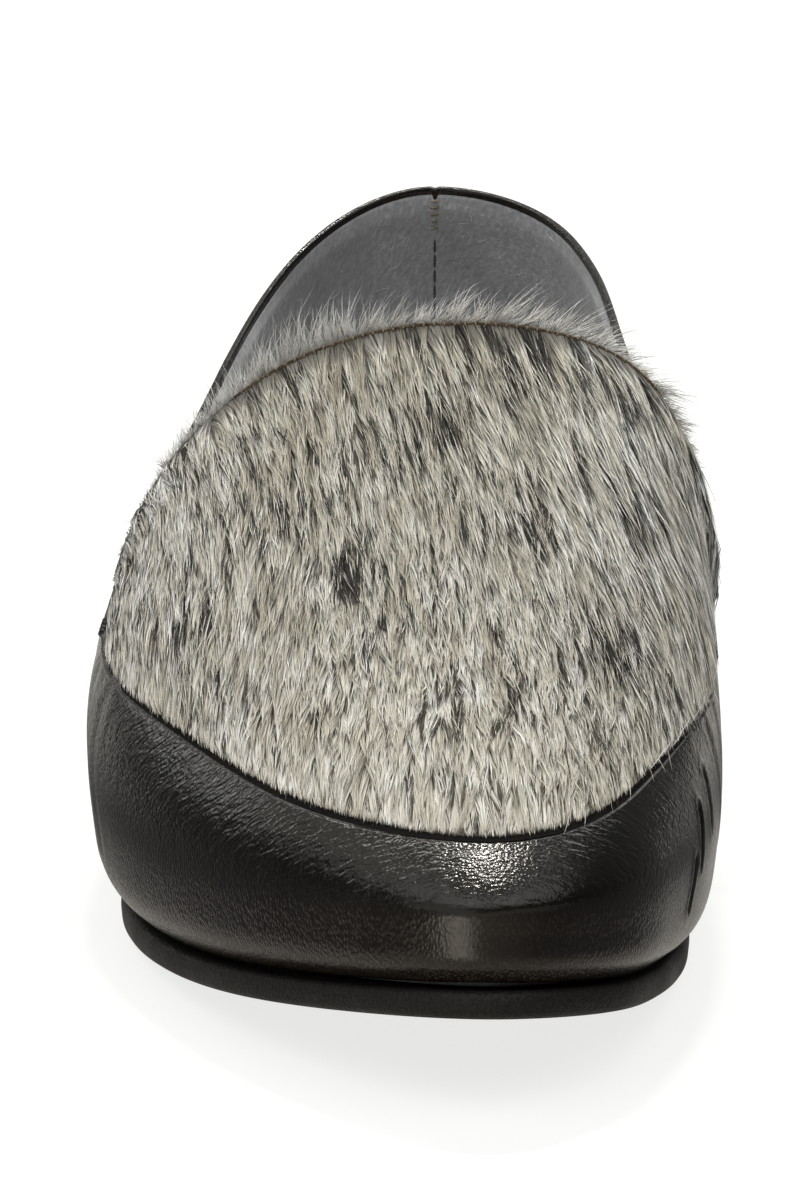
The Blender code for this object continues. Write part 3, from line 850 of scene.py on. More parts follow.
class WallLines:
    """Lines down the wall from the band's edge, read by the distance from that edge."""

    def __init__(self, shares):
        self.shares = shares
        self.station = np.clip(OUTLINE(shares)[:, 1], 0.0, LENGTH)
        edge = edge_angle(shares)
        t = np.linspace(0.0, 1.0, LINE_SAMPLES)
        self.angles = edge[:, None] + (-TURN_UNDER - edge)[:, None] * t
        points = wall(shares[:, None], self.angles)
        step = np.linalg.norm(np.diff(points, axis=1), axis=2)
        self.down = np.concatenate([np.zeros((len(shares), 1)), np.cumsum(step, axis=1)], axis=1)
        self.reach = self.down[:, -1]

    def angle(self, distance):
        """Angles at one distance for each line; distance has a row for each line."""
        return np.stack([np.interp(d, down, angles)
                         for d, down, angles in zip(distance, self.down, self.angles)])

    def place(self, distance):
        """Points, normals and angles at the distances, with a row for each line."""
        angle = self.angle(distance)
        return wall(self.shares[:, None], angle), wall_normal(self.shares[:, None], angle), angle


# Creases of the leather: side, station and height at the top, station and height at the bottom, half width
# and depth
CREASE_COLUMNS = ("medial", "top_station", "top_height", "low_station", "low_height", "width", "depth")
CREASES = (
    (True, 0.168, 0.0330, 0.174, 0.0140, 0.0016, 0.00030),
    (True, 0.178, 0.0320, 0.181, 0.0180, 0.0013, 0.00025),
    (True, 0.188, 0.0315, 0.188, 0.0200, 0.0012, 0.00025),
    (True, 0.156, 0.0340, 0.163, 0.0170, 0.0018, 0.00040),
    (True, 0.146, 0.0330, 0.152, 0.0190, 0.0020, 0.00040),
    (True, 0.1985, 0.0285, 0.2000, 0.0225, 0.0008, 0.00022),
    (True, 0.2065, 0.0262, 0.2092, 0.0200, 0.0007, 0.00040),
    (True, 0.2125, 0.0212, 0.2148, 0.0162, 0.0007, 0.00036),
    (False, 0.150, 0.0340, 0.157, 0.0170, 0.0022, 0.00030),
    (False, 0.163, 0.0320, 0.170, 0.0130, 0.0020, 0.00020),
    (False, 0.175, 0.0310, 0.180, 0.0140, 0.0017, 0.00015),
    (False, 0.058, 0.0400, 0.074, 0.0250, 0.0050, 0.00024),
    (True, 0.070, 0.0420, 0.080, 0.0280, 0.0046, 0.00018),
    (False, 0.028, 0.0450, 0.040, 0.0330, 0.0044, 0.00016),
    (True, 0.040, 0.0450, 0.054, 0.0320, 0.0050, 0.00022),
)
CREASE_RIDGE = 0.35
CREASE_RIDGE_AT = 1.9

# Dents of the toe: plan offset, height, half width, half height and depth
DENTS = (
    (0.0130, 0.0215, 0.0060, 0.0075, 0.00080),
    (0.0035, 0.0180, 0.0045, 0.0060, 0.00040),
    (0.0220, 0.0190, 0.0050, 0.0060, 0.00045),
)
DENT_EASE = (0.225, 0.008)

# Further lines beside the back seam, in widths of its groove
BACK_SEAM_COLUMNS = (-1.6, -1.1, -0.55, 0.55, 1.1, 1.6)

# Height above the sole over which the band's relief fades
FOOT_FADE = 0.003

# Quarter lining: crowding of its rows towards the edge, share of them that rounds it, and the angle below the
# widest line from which it turns in
LINING_SPREAD = 1.4
LINING_ROUND = 0.05
LINING_TURN = math.radians(40)


def creased(points, medial):
    """Depth of the leather's creases and dents at points of the wall."""
    station = LENGTH / 2 - points[..., 1]
    x = points[..., 0] + AXIS_X
    z = points[..., 2]
    depth = np.zeros_like(z)
    for row in CREASES:
        crease = dict(zip(CREASE_COLUMNS, row))
        top = np.array([crease["top_station"], crease["top_height"]])
        run = np.array([crease["low_station"], crease["low_height"]]) - top
        t = ((station - top[0]) * run[0] + (z - top[1]) * run[1]) / (run @ run)
        held = np.clip(t, 0.0, 1.0)
        away = np.hypot(station - top[0] - held * run[0], z - top[1] - held * run[1])
        trough = hump(away, crease["width"])
        ridge = CREASE_RIDGE * hump(away - CREASE_RIDGE_AT * crease["width"], crease["width"])
        depth += np.where(medial == crease["medial"], crease["depth"] * (trough - ridge), 0.0)
    front = eased(station, *DENT_EASE)
    for offset, height, half_width, half_height, deep in DENTS:
        depth += deep * front * hump(x - offset, half_width) * hump(z - height, half_height)
    return depth


def seam_relief(distance, station):
    """Height over the band's surface: sunk beside the coat, and grooved for stitches along the topline."""
    sunk = SEAM_SINK * (1 - eased(distance, SEAM_WIDTH, SEAM_EDGE))
    groove = TOPLINE_GROOVE * hump(distance - TOPLINE_GROOVE_AT, TOPLINE_GROOVE_WIDTH)
    front = front_share(station)
    return -front * sunk - (1 - front) * groove


def around_back(shares):
    """Distance round the outline from the back seam, positive on the lateral side."""
    return ((shares + 0.5) % 1.0 - 0.5) * PERIMETER


def band_lines():
    """Lines evenly round the band, with more beside the back seam and over the short creases of the toe."""
    even = np.linspace(0.0, 1.0, BAND_COLUMNS, endpoint=False)
    beside = np.array(BACK_SEAM_COLUMNS) * BACK_SEAM_WIDTH / PERIMETER
    first, last = sorted(share_at(np.array(FINE_STATIONS), True))
    fine = np.linspace(first, last, FINE_COLUMNS)
    even = even[(even < first - FINE_CLEAR) | (even > last + FINE_CLEAR)]
    return WallLines(np.sort(np.concatenate([even, beside % 1.0, fine])))


def make_leather_band(lines, finish):
    """Leather from the sole up to its folded edge, over the edge and down its inner side."""
    t = np.linspace(1.0, 0.0, BAND_ROWS) ** BAND_SPREAD
    distance = EDGE_ROLL + (lines.reach - EDGE_ROLL)[:, None] * t
    points, normals, angle = lines.place(distance)
    medial = (lines.shares > TIP_SHARE)[:, None]
    lift = seam_relief(distance, lines.station[:, None]) - creased(points, medial)
    lift = lift - (BACK_SEAM_GROOVE * hump(around_back(lines.shares), BACK_SEAM_WIDTH))[:, None]
    under = np.clip(-np.sin(angle) / math.sin(TURN_UNDER), 0.0, 1.0)
    lift = lift + FOOT_FULLNESS * np.sin(math.pi * under**2) ** 2
    fade = smooth_step((lines.reach[:, None] - distance) / FOOT_FADE)
    outer = points + normals * (lift * fade)[..., None]

    top, top_normal, _ = lines.place(np.full((len(lines.shares), 1), EDGE_ROLL))
    above, _, _ = lines.place(np.zeros((len(lines.shares), 1)))
    climb = unit(above - top)
    turn = np.linspace(0.0, math.pi, ROLL_ROWS + 2)[1:-1][None, :, None]
    start = outer[:, -1:]
    roll = start + EDGE_ROLL * np.sin(turn) * climb - EDGE_ROLL * (1 - np.cos(turn)) * top_normal

    inner_t = np.linspace(0.0, 1.0, INNER_ROWS)
    inner_distance = EDGE_ROLL + (lines.reach - EDGE_ROLL)[:, None] * inner_t
    inner_points, inner_normals, _ = lines.place(inner_distance)
    inner = inner_points - inner_normals * LEATHER
    inner[:, 0] = start[:, 0] - 2 * EDGE_ROLL * top_normal[:, 0]

    loop = np.concatenate([outer, roll, inner], 1)
    faces = grid_faces(*loop.shape[:2], close_rows=True, close_columns=True)
    made = piece("leather_band", loop, [faces], finish, weld=WELD)
    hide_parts("upper")


def make_quarter_lining(lines, finish):
    """Felt lining inside the band, from its edge down to the insole."""
    t = np.linspace(0.0, 1.0, LINING_ROWS) ** LINING_SPREAD
    distance = LINING_DROP + (lines.reach - LINING_DROP)[:, None] * t
    points, normals, angle = lines.place(distance)
    flange = feather_ring(-FLANGE, lines.shares)
    foot = plan_to_space(flange[:, 0], flange[:, 1], seat(lines.station))
    turned_in = eased(-angle, LINING_TURN, TURN_UNDER - LINING_TURN)[..., None]
    rounded = (WALL - LEATHER) * smooth_step(t / LINING_ROUND)
    inner = points - normals * (LEATHER + rounded)[None, :, None]
    inner = inner + (foot[:, None] - inner) * turned_in
    low_t = np.linspace(1.0, 0.0, BACKING_ROWS)
    low_distance = LINING_DROP + (lines.reach - LINING_DROP)[:, None] * low_t
    low_points, low_normals, _ = lines.place(low_distance)
    loop = np.concatenate([inner, low_points - low_normals * LEATHER], 1)
    faces = grid_faces(*loop.shape[:2], close_rows=True, close_columns=True)
    piece("quarter_lining", loop, [faces], finish, weld=WELD)


# Vamp: fullness of the hide over the form: plan offset, station, half width, half length and height, and the
# share of the way up from the seam over which it starts
FULLNESS = (
    (0.0310, 0.130, 0.0110, 0.016, 0.0026),
    (-0.0315, 0.137, 0.0085, 0.013, 0.0015),
    (0.0055, 0.120, 0.0110, 0.022, 0.0012),
)
FULLNESS_EASE = 0.25

# How far the hide's skin lies under the form
SKIN_DEPTH = 0.0001


def fullness(x, station):
    """How far the hide stands over the form at its two shoulders and at the throat."""
    return sum(height * hump(x - offset, half_width) * hump(station - along, half_length)
               for offset, along, half_width, half_length, height in FULLNESS)


def vamp_grid(depth, columns=VAMP_COLUMNS, rows=VAMP_ROWS, full=True):
    """Grid over the vamp: lines from the lateral seam over the crest to the medial seam, throat to toe."""
    lateral = np.linspace(share_at(NOTCH, False), TIP_SHARE, columns)
    medial = share_at(OUTLINE(lateral)[:, 1], True)
    t = np.linspace(0.0, 1.0, rows)

    def side(shares):
        edge = edge_angle(shares)
        angle = edge[:, None] + (math.pi / 2 - edge)[:, None] * t
        x, station = wall_above(shares[:, None], angle)
        lift = depth + (fullness(x, station) * smooth_step(t / FULLNESS_EASE) if full else np.zeros_like(x))
        return wall(shares[:, None], angle) + lift[..., None] * wall_normal(shares[:, None], angle)

    return np.concatenate([side(lateral), side(medial)[:, -2::-1]], 1)


def make_sheet(name, top_depth, low_depth, finish):
    """Closed sheet of the vamp between two depths of the form."""
    top = vamp_grid(top_depth)
    low = vamp_grid(low_depth)
    columns, rows = top.shape[:2]
    count = columns * rows
    top_faces = grid_faces(columns, rows)
    low_faces = grid_faces(columns, rows, first=count)[:, ::-1]
    rim = np.concatenate([np.arange(rows), rows * np.arange(1, columns) + rows - 1])
    other = rows * np.arange(columns)
    walls = [np.stack([line[:-1], line[1:], line[1:] + count, line[:-1] + count], 1) for line in (rim, other)]
    return piece(name, np.concatenate([top, low]), [top_faces, low_faces, *walls], finish, weld=WELD)


# Lie of the coat: station, then the turn in degrees towards the medial side at the lateral edge, in the
# middle and at the medial edge. Its slow waves: how many, and their largest rates across and along the plan
LIE_COLUMNS = ("station", "lateral", "middle", "medial")
LIE = (
    (0.120, 12.0, 8.0, 16.0),
    (0.150, 6.0, 8.0, 15.0),
    (0.180, 2.0, 4.0, 8.0),
    (0.210, 0.0, 2.0, 4.0),
    (0.240, -3.0, 0.0, 2.0),
)
LIE_REACH = 0.034
LIE_WOBBLE = math.radians(2.5)
WOBBLES = 4
WOBBLE_RATES = (420, 260)
WOBBLE_PHASE = 6.3

# Dark flecks of the coat: plan offset, station, half width, half length and weight
FLECKS = (
    (-0.0073, 0.1890, 0.0035, 0.0060, 1.00),
    (0.0041, 0.1530, 0.0035, 0.0060, 0.75),
    (0.0164, 0.1365, 0.0040, 0.0060, 0.70),
    (0.0283, 0.1406, 0.0035, 0.0060, 0.60),
    (0.0269, 0.2048, 0.0040, 0.0060, 0.80),
    (0.0055, 0.2250, 0.0030, 0.0050, 0.80),
    (-0.0248, 0.1291, 0.0030, 0.0050, 0.55),
    (-0.0166, 0.1675, 0.0035, 0.0060, 0.60),
    (-0.0264, 0.1861, 0.0035, 0.0060, 0.60),
    (-0.0244, 0.2063, 0.0030, 0.0050, 0.60),
    (0.0179, 0.1762, 0.0030, 0.0060, 0.50),
    (0.0306, 0.1655, 0.0030, 0.0060, 0.50),
)

# Plan box over the vamp, how many points are tried for each one wanted, the steepest normal that counts, and
# the largest squared slope that shortens a step in plan
SCATTER_X = (-0.045, 0.045)
SCATTER_STATION = (0.112, 0.246)
SCATTER_TRIES = 4
STEEPEST = 0.2
SLOPE_LIMIT = 9.0

# Hair of the vamp: how many locks and hairs, the hairs added at the throat's edge and how far behind and
# ahead of it they root, the meshes that share them, and the points and size of a hair
SEED = 41
LOCKS = 5200
HAIRS = 104000
EDGE_HAIRS = 9000
EDGE_REACH = (-0.0005, 0.0032)
HAIR_PIECES = 4
HAIR_STEPS = 4
HAIR_LENGTH = (0.0085, 0.0160)
HAIR_HALF_WIDTH = (0.000055, 0.000105)
HAIR_TWIST = math.radians(28)
SHORTEST_HAIR = 0.0018
TOE_SHORTER = 0.42
TOE_ROOT_SHADE = 0.42

# Locks: the guide that each follows, the point of it that shows its colour, how far it strays from the lie of
# the coat, and how its hairs are drawn together and sway
GUIDE_STEPS = 10
GUIDE_LENGTH = 0.0180
SHOWN_STEP = 7
LOCK_TURN = math.radians(3.0)
TOE_TURN = math.radians(2.0)
PULL = (0.70, 0.97)
PULL_POWER = 1.2
SWAY = 0.00020
TOE_SWAY = 0.35

# Lift of a hair over the form: at its tip, for the hairs under the others, at the toe and for stray ones,
# then at its root, the power of its rise, and how far it is held down beside the seam
TIP_LIFT = (0.00035, 0.00130)
TIP_LIFT_SPREAD = (0.55, 1.25)
UNDER_SHARE = 0.27
UNDER_TIP_LIFT = 0.35
TOE_TIP_LIFT = 0.3
STRAY_SHARE = 0.02
STRAY_LIFT = (0.0003, 0.0016)
ROOT_SINK = 0.00012
LIFT_POWER = 0.9
SEAM_LIFT = (0.40, 0.60)
SEAM_ROOM = 0.0045

# End of a hair at the seam: steps of the search for it, its distance inside the seam, and the few hairs near
# the toe that cross it: offset past which there are more, first station, shares, reach, lift and width
TRIAL_STEPS = 14
SEAM_MARGIN = (-0.0003, 0.0004)
CROSSING_FROM = 0.018
CROSSING_STATION = 0.172
CROSSING_SHARE = (0.012, 0.002)
CROSSING_REACH = (0.0006, 0.0026)
CROSSING_LIFT = 0.0007
CROSSING_WIDTH = 0.55

# Outline of the vamp seen from a centre, and open past the throat's corners
VAMP_CENTRE = (0.004, 0.178)
THROAT_TURN = 0.02
OPEN_REACH = 0.2
SEAM_SAMPLES = 400
THROAT_SAMPLES = 200

# Where the coat changes: the station or offset at which each change starts, and the length that it takes
ASTRAY_EASE = (0.165, 0.050)
TOEWARD_EASE = (0.135, 0.09)
TOE_END_EASE = (0.160, 0.060)
TOE_TIP_EASE = (0.185, 0.040)
# Offset from the middle over which the coat's sides are made paler, as painted light
COAT_SIDE_LIGHT_EASE = (0.016, 0.016)

# Width and length of the coat's patches and streaks, and the side of the table behind them
PATCH_CELL = (0.0028, 0.0080)
STREAK_CELL = (0.0012, 0.0060)
PATCH_TABLE = 64

# Chance that a lock is dark: anywhere, in a patch, and less of both towards the toe; then in a fleck
DARK_LOCKS = 0.05
DARK_IN_PATCH = 0.37
PATCH_TOEWARD = 0.25
DARK_TOEWARD = 0.02
DARK_IN_FLECK = 0.95

# Share of dark hairs: in a dark lock, more of them in a fleck, in a pale lock, and fewer of those at the toe
DARK_HAIRS = 0.70
FLECK_HAIRS = 0.15
STRAY_DARK = 0.08
TOE_STRAY_DARK = 0.02

# Tones on the scale of hair colours: of a pale lock, more towards the toe, more beside the middle as painted
# light on the coat's sides, and in a streak, and the spread of locks and of hairs; of the hairs under the
# others; and of dark hairs
LOCK_TONE = 0.755
LOCK_TOEWARD = 0.07
LOCK_SIDE_PAINTED_LIGHT = 0.16
LOCK_STREAK = 0.20
LOCK_SPREAD = 0.05
HAIR_SPREAD = 0.045
UNDER_TONE = (0.24, 0.52)
UNDER_TOE = 0.13
DARK_TONE = (0.02, 0.32)
DARK_FLECK = 0.5
DARK_TOE = 0.14


class VampRegion:
    """Outline of the vamp in plan, seen from its centre, to test where hairs may root and must end."""

    def __init__(self):
        lateral = np.linspace(share_at(NOTCH, False), TIP_SHARE, SEAM_SAMPLES)
        medial = np.linspace(TIP_SHARE, share_at(NOTCH, True), SEAM_SAMPLES)
        shares = np.concatenate([lateral, medial])
        seam = np.stack(wall_above(shares, edge_angle(shares)), -1)
        throat = vamp_grid(0.0, columns=2, rows=THROAT_SAMPLES, full=False)[0]
        self.throat = np.stack([throat[:, 0] + AXIS_X, LENGTH / 2 - throat[:, 1]], -1)
        corners, _ = self.angle_and_reach(*seam[[0, -1]].T)
        seam_angle, seam_reach = self.polar(seam)
        angles = np.concatenate([seam_angle, corners + np.array([THROAT_TURN, -THROAT_TURN])])
        reaches = np.concatenate([seam_reach, np.full(2, OPEN_REACH)])
        order = np.argsort(angles)
        self.seam = angles[order], reaches[order]
        self.all = self.polar(np.concatenate([seam, self.throat]))

    @staticmethod
    def angle_and_reach(x, station):
        dx = x - VAMP_CENTRE[0]
        ds = station - VAMP_CENTRE[1]
        return np.arctan2(ds, dx), np.hypot(dx, ds)

    def polar(self, line):
        angle, reach = self.angle_and_reach(line[:, 0], line[:, 1])
        order = np.argsort(angle)
        return angle[order], reach[order]

    def depth(self, x, station, boundary):
        """Distance inside the boundary along the line from the centre, negative outside."""
        angle, reach = self.angle_and_reach(x, station)
        return np.interp(angle, *boundary, period=2 * math.pi) - reach


def lie_angle(x, station, wobble):
    """Direction of the coat in plan, 0 towards the toe."""
    lie = read_table(LIE, LIE_COLUMNS, station)
    middle = lie["middle"]
    across = np.clip(x / LIE_REACH, -1.0, 1.0)
    side = np.where(across > 0, across * (lie["medial"] - middle), -across * (lie["lateral"] - middle))
    waves = sum(np.sin(x * a + station * b + c) for a, b, c in wobble) / len(wobble)
    return np.radians(middle + side) + LIE_WOBBLE * waves


def scatter(random, region, count):
    """Plan points spread evenly over the vamp's surface."""
    kept = np.zeros((0, 2))
    while len(kept) < count:
        x = random.uniform(*SCATTER_X, SCATTER_TRIES * count)
        station = random.uniform(*SCATTER_STATION, SCATTER_TRIES * count)
        inside = region.depth(x, station, region.all) > 0.0
        x = x[inside]
        station = station[inside]
        steep = 1 / np.maximum(dome_normal(x, station)[:, 2], STEEPEST)
        accepted = random.uniform(0.0, 1 / STEEPEST, len(x)) < steep
        kept = np.concatenate([kept, np.stack([x[accepted], station[accepted]], 1)])
    return kept[:count]


def trace_locks(roots, bias, wobble):
    """Plan paths along the lie of the coat, with equal steps on the surface."""
    stride = GUIDE_LENGTH / (GUIDE_STEPS - 1)
    x, station = roots.T.copy()
    path = [np.stack([x, station], 1)]
    for _ in range(GUIDE_STEPS - 1):
        turn = lie_angle(x, station, wobble) + bias
        dx = np.sin(turn)
        ds = np.cos(turn)
        ahead = dome_height(x + PLAN_STEP * dx, station + PLAN_STEP * ds)
        slope = (ahead - dome_height(x, station)) / PLAN_STEP
        stretch = stride / np.sqrt(1 + np.minimum(slope**2, SLOPE_LIMIT))
        x = x + stretch * dx
        station = np.minimum(station + stretch * ds, LENGTH - PLAN_STEP)
        path.append(np.stack([x, station], 1))
    return np.stack(path, 1)


def fleck_weight(x, station):
    weight = np.zeros_like(x)
    for offset, along, half_width, half_length, strength in FLECKS:
        mine = strength * hump(x - offset, half_width) * hump(station - along, half_length)
        weight = np.maximum(weight, mine)
    return weight


def sample_paths(paths, t):
    """Points along each path at its own shares of the way, by straight steps."""
    place = np.clip(t, 0.0, 1.0) * (paths.shape[1] - 1)
    i = np.minimum(place.astype(int), paths.shape[1] - 2)
    part = (place - i)[..., None]
    rows = np.arange(len(paths))[:, None]
    return paths[rows, i] * (1 - part) + paths[rows, i + 1] * part


def patchwork(random, x, station, cell):
    """Smooth random field over the plan from 0 to 1, in patches of a width and a length."""
    values = random.uniform(size=(PATCH_TABLE, PATCH_TABLE))
    u = (x - CAD_BOX[0][0]) / cell[0] + PATCH_TABLE
    v = station / cell[1]
    i = np.floor(u).astype(int)
    j = np.floor(v).astype(int)
    across = smooth_step(u - i)
    along = smooth_step(v - j)
    i, i_next = i % PATCH_TABLE, (i + 1) % PATCH_TABLE
    j, j_next = j % PATCH_TABLE, (j + 1) % PATCH_TABLE
    near = values[i, j] * (1 - across) + values[i_next, j] * across
    far = values[i, j_next] * (1 - across) + values[i_next, j_next] * across
    return near * (1 - along) + far * along


def throat_roots(random, region, wobble):
    """Further roots close behind and in front of the throat's edge, where the coat would show its skin."""
    way = way_along(region.throat)
    at = random.uniform(0.0, way[-1], EDGE_HAIRS)
    x, station = read_along(at, way, region.throat).T
    turn = lie_angle(x, station, wobble)
    ahead = random.uniform(*EDGE_REACH, EDGE_HAIRS)
    return np.stack([x + np.sin(turn) * ahead, station + np.cos(turn) * ahead], 1)


def nearest(roots, others):
    """Number of the closest of the other plan points to each root."""
    tree = KDTree(len(others))
    for i, (x, station) in enumerate(others):
        tree.insert((x, station, 0.0), i)
    tree.balance()
    return np.array([tree.find((x, station, 0.0))[1] for x, station in roots])


def make_coat(finish):
    """Coat of the vamp: locks that lie towards the toe, each of many hairs drawn together at their tips."""
    random = np.random.default_rng(SEED)
    region = VampRegion()
    rates = [random.uniform(-rate, rate, WOBBLES) for rate in WOBBLE_RATES]
    wobble = np.stack([*rates, random.uniform(0, WOBBLE_PHASE, WOBBLES)], 1)
    lock_roots = scatter(random, region, LOCKS)
    astray = LOCK_TURN + TOE_TURN * eased(lock_roots[:, 1], *ASTRAY_EASE)
    locks = trace_locks(lock_roots, random.normal(0.0, 1.0, LOCKS) * astray, wobble)
    shown_x, shown_station = locks[:, SHOWN_STEP].T
    fleck = fleck_weight(shown_x, shown_station)
    toeward = eased(shown_station, *TOEWARD_EASE)
    patch = patchwork(random, shown_x, shown_station, PATCH_CELL)
    streak = patchwork(random, shown_x, shown_station, STREAK_CELL)
    dark_chance = DARK_LOCKS + DARK_IN_PATCH * patch**2 * (1 - PATCH_TOEWARD * toeward)
    dark_chance = dark_chance - DARK_TOEWARD * toeward + DARK_IN_FLECK * fleck
    lock_is_dark = random.uniform(size=LOCKS) < dark_chance
    # Locks beside the middle are made paler: painted light on the coat's sides
    beside = eased(np.abs(shown_x), *COAT_SIDE_LIGHT_EASE) * (1 - toeward)
    lock_light = LOCK_TONE + LOCK_TOEWARD * toeward + LOCK_SIDE_PAINTED_LIGHT * beside + LOCK_STREAK * (streak - 0.5)
    lock_light = lock_light + random.normal(0.0, LOCK_SPREAD, LOCKS)
    lock_lift = random.uniform(*TIP_LIFT, LOCKS)

    roots = np.concatenate([scatter(random, region, HAIRS), throat_roots(random, region, wobble)])
    count = len(roots)
    lock = nearest(roots, lock_roots)
    toe_end = eased(roots[:, 1], *TOE_END_EASE)
    length = random.uniform(*HAIR_LENGTH, count) * (1 - TOE_SHORTER * toe_end)
    offset = roots - lock_roots[lock]
    pull = random.uniform(*PULL, count)
    sway = random.normal(0.0, SWAY, (count, 2)) * (1 - TOE_SWAY * toe_end)[:, None]

    def plan_path(reach, steps):
        t = np.linspace(0.0, 1.0, steps)[None] * reach[:, None]
        base = sample_paths(locks[lock], t * (length / GUIDE_LENGTH)[:, None])
        drawn = offset[:, None] * (1 - pull[:, None] * t**PULL_POWER)[..., None]
        return base + drawn + sway[:, None] * (t**2)[..., None], t

    trial, _ = plan_path(np.ones(count), TRIAL_STEPS)
    spare = region.depth(trial[..., 0], trial[..., 1], region.seam)
    margin = random.uniform(*SEAM_MARGIN, count)
    crossing = random.uniform(size=count) < np.where(roots[:, 0] > CROSSING_FROM, *CROSSING_SHARE)
    crossing = crossing & (roots[:, 1] > CROSSING_STATION)
    margin = np.where(crossing, -random.uniform(*CROSSING_REACH, count), margin)
    past = spare < margin[:, None]
    first = np.where(past.any(1), np.argmax(past, 1), TRIAL_STEPS)
    reach = np.clip((first - random.uniform(0.0, 1.0, count)) / (TRIAL_STEPS - 1), 0.0, 1.0)
    keep = reach * length > SHORTEST_HAIR
    path, t = plan_path(reach, HAIR_STEPS)

    x = path[..., 0]
    station = path[..., 1]
    normals = dome_normal(x, station)
    seam_room = smooth_step(region.depth(x, station, region.seam) / SEAM_ROOM)
    under = random.uniform(size=count) < UNDER_SHARE
    tip_lift = lock_lift[lock] * random.uniform(*TIP_LIFT_SPREAD, count)
    tip_lift = tip_lift * np.where(under, UNDER_TIP_LIFT, 1.0) * (1 - TOE_TIP_LIFT * toe_end)
    stray = random.uniform(size=count) < STRAY_SHARE
    tip_lift = np.where(stray, tip_lift + random.uniform(*STRAY_LIFT, count), tip_lift)
    lift = -ROOT_SINK + (tip_lift[:, None] + ROOT_SINK) * t**LIFT_POWER
    lift = lift * (SEAM_LIFT[0] + SEAM_LIFT[1] * seam_room)
    lift = lift + fullness(x, station) * seam_room + (crossing * CROSSING_LIFT)[:, None] * t
    points = plan_to_space(x, station, dome_height(x, station)) + normals * lift[..., None]

    tone = lock_light[lock] + random.normal(0.0, HAIR_SPREAD, count)
    tone = np.where(under, random.uniform(*UNDER_TONE, count) + UNDER_TOE * toe_end, tone)
    toe_tip = eased(roots[:, 1], *TOE_TIP_EASE)
    in_fleck = fleck[lock]
    dark_share = np.where(lock_is_dark[lock], DARK_HAIRS + FLECK_HAIRS * in_fleck,
                          STRAY_DARK - TOE_STRAY_DARK * toe_tip)
    dark = random.uniform(size=count) < dark_share
    dark_tone = random.uniform(*DARK_TONE, count) * (1 - DARK_FLECK * in_fleck) + DARK_TOE * toe_tip
    tone = np.clip(np.where(dark, dark_tone, tone), 0.0, 1.0)
    width = random.uniform(*HAIR_HALF_WIDTH, count) * np.where(crossing, CROSSING_WIDTH, 1.0)
    twist = random.normal(0.0, HAIR_TWIST, count)
    group = random.integers(0, HAIR_PIECES, count)
    for number in range(HAIR_PIECES):
        mine = keep & (group == number)
        ribbons(f"coat_{number + 1}", points[mine], normals[mine], width[mine], twist[mine], tone[mine],
                finish, root_shade=TOE_ROOT_SHADE * toe_tip[mine])


# Hairs that lie along the medial seam: stations where each starts and ends, and its distances above the edge
# there
SEAM_HAIRS = (
    (0.1820, 0.1905, 0.0004, -0.0002),
    (0.1880, 0.1945, 0.0006, 0.0000),
    (0.1925, 0.2010, 0.0003, -0.0001),
    (0.1990, 0.2080, 0.0005, 0.0001),
    (0.2050, 0.2110, 0.0002, -0.0003),
    (0.2085, 0.2165, 0.0006, 0.0000),
    (0.2140, 0.2215, 0.0003, -0.0002),
    (0.1700, 0.1790, 0.0008, 0.0001),
)
SEAM_HAIR_STEPS = 9
SEAM_HAIR_LIFT = 0.00045
SEAM_HAIR_BOW = (0.4, 0.6)
SEAM_HAIR_HALF_WIDTH = 0.00006
SEAM_HAIR_TONE = 0.97
SEAM_HAIR_SHADE = 0.85


def make_seam_hairs(finish):
    """Single pale hairs that have turned along the medial edge of the coat."""
    t = np.linspace(0.0, 1.0, SEAM_HAIR_STEPS)
    paths = []
    normals = []
    for start, end, start_above, end_above in SEAM_HAIRS:
        shares = share_at(start + (end - start) * t, True)
        sides = WallLines(shares)
        above = start_above + (end_above - start_above) * t
        points, outward, _ = sides.place(np.zeros((SEAM_HAIR_STEPS, 1)))
        below, _, _ = sides.place(np.full((SEAM_HAIR_STEPS, 1), EDGE_ROLL))
        up = unit(points[:, 0] - below[:, 0])
        bow = SEAM_HAIR_LIFT * (SEAM_HAIR_BOW[0] + SEAM_HAIR_BOW[1] * np.sin(math.pi * t))
        paths.append(points[:, 0] + up * above[:, None] + outward[:, 0] * bow[:, None])
        normals.append(outward[:, 0])
    count = len(SEAM_HAIRS)
    width = np.full(count, SEAM_HAIR_HALF_WIDTH)
    tone = np.full(count, SEAM_HAIR_TONE)
    ribbons("seam_hairs", np.stack(paths), np.stack(normals), width, np.zeros(count), tone, finish,
            root_shade=SEAM_HAIR_SHADE)


# Throat: columns over the vamp, and the lift that shows which way is out
THROAT_COLUMNS = 60
THROAT_PROBE = 0.001

# Folded edge between the throat's two corners, thinner at both ends, and the stitches over it: place of both
# ends of a stitch behind the edge and above it
FOLD_ENDS = (-0.0245, 0.0350)
FOLD_HALF = (0.00032, 0.00026)
FOLD_STEPS = 240
FOLD_SIDES = 8
FOLD_TAPER = 0.003
FOLD_THIN = 0.15
FOLD_SINK = 0.00012
FOLD_PITCH = 0.0014
FOLD_STITCH_START = (0.00025, 0.00016)
FOLD_STITCH_END = (-0.00075, 0.00022)
FOLD_STITCH_RADIUS = 0.00012

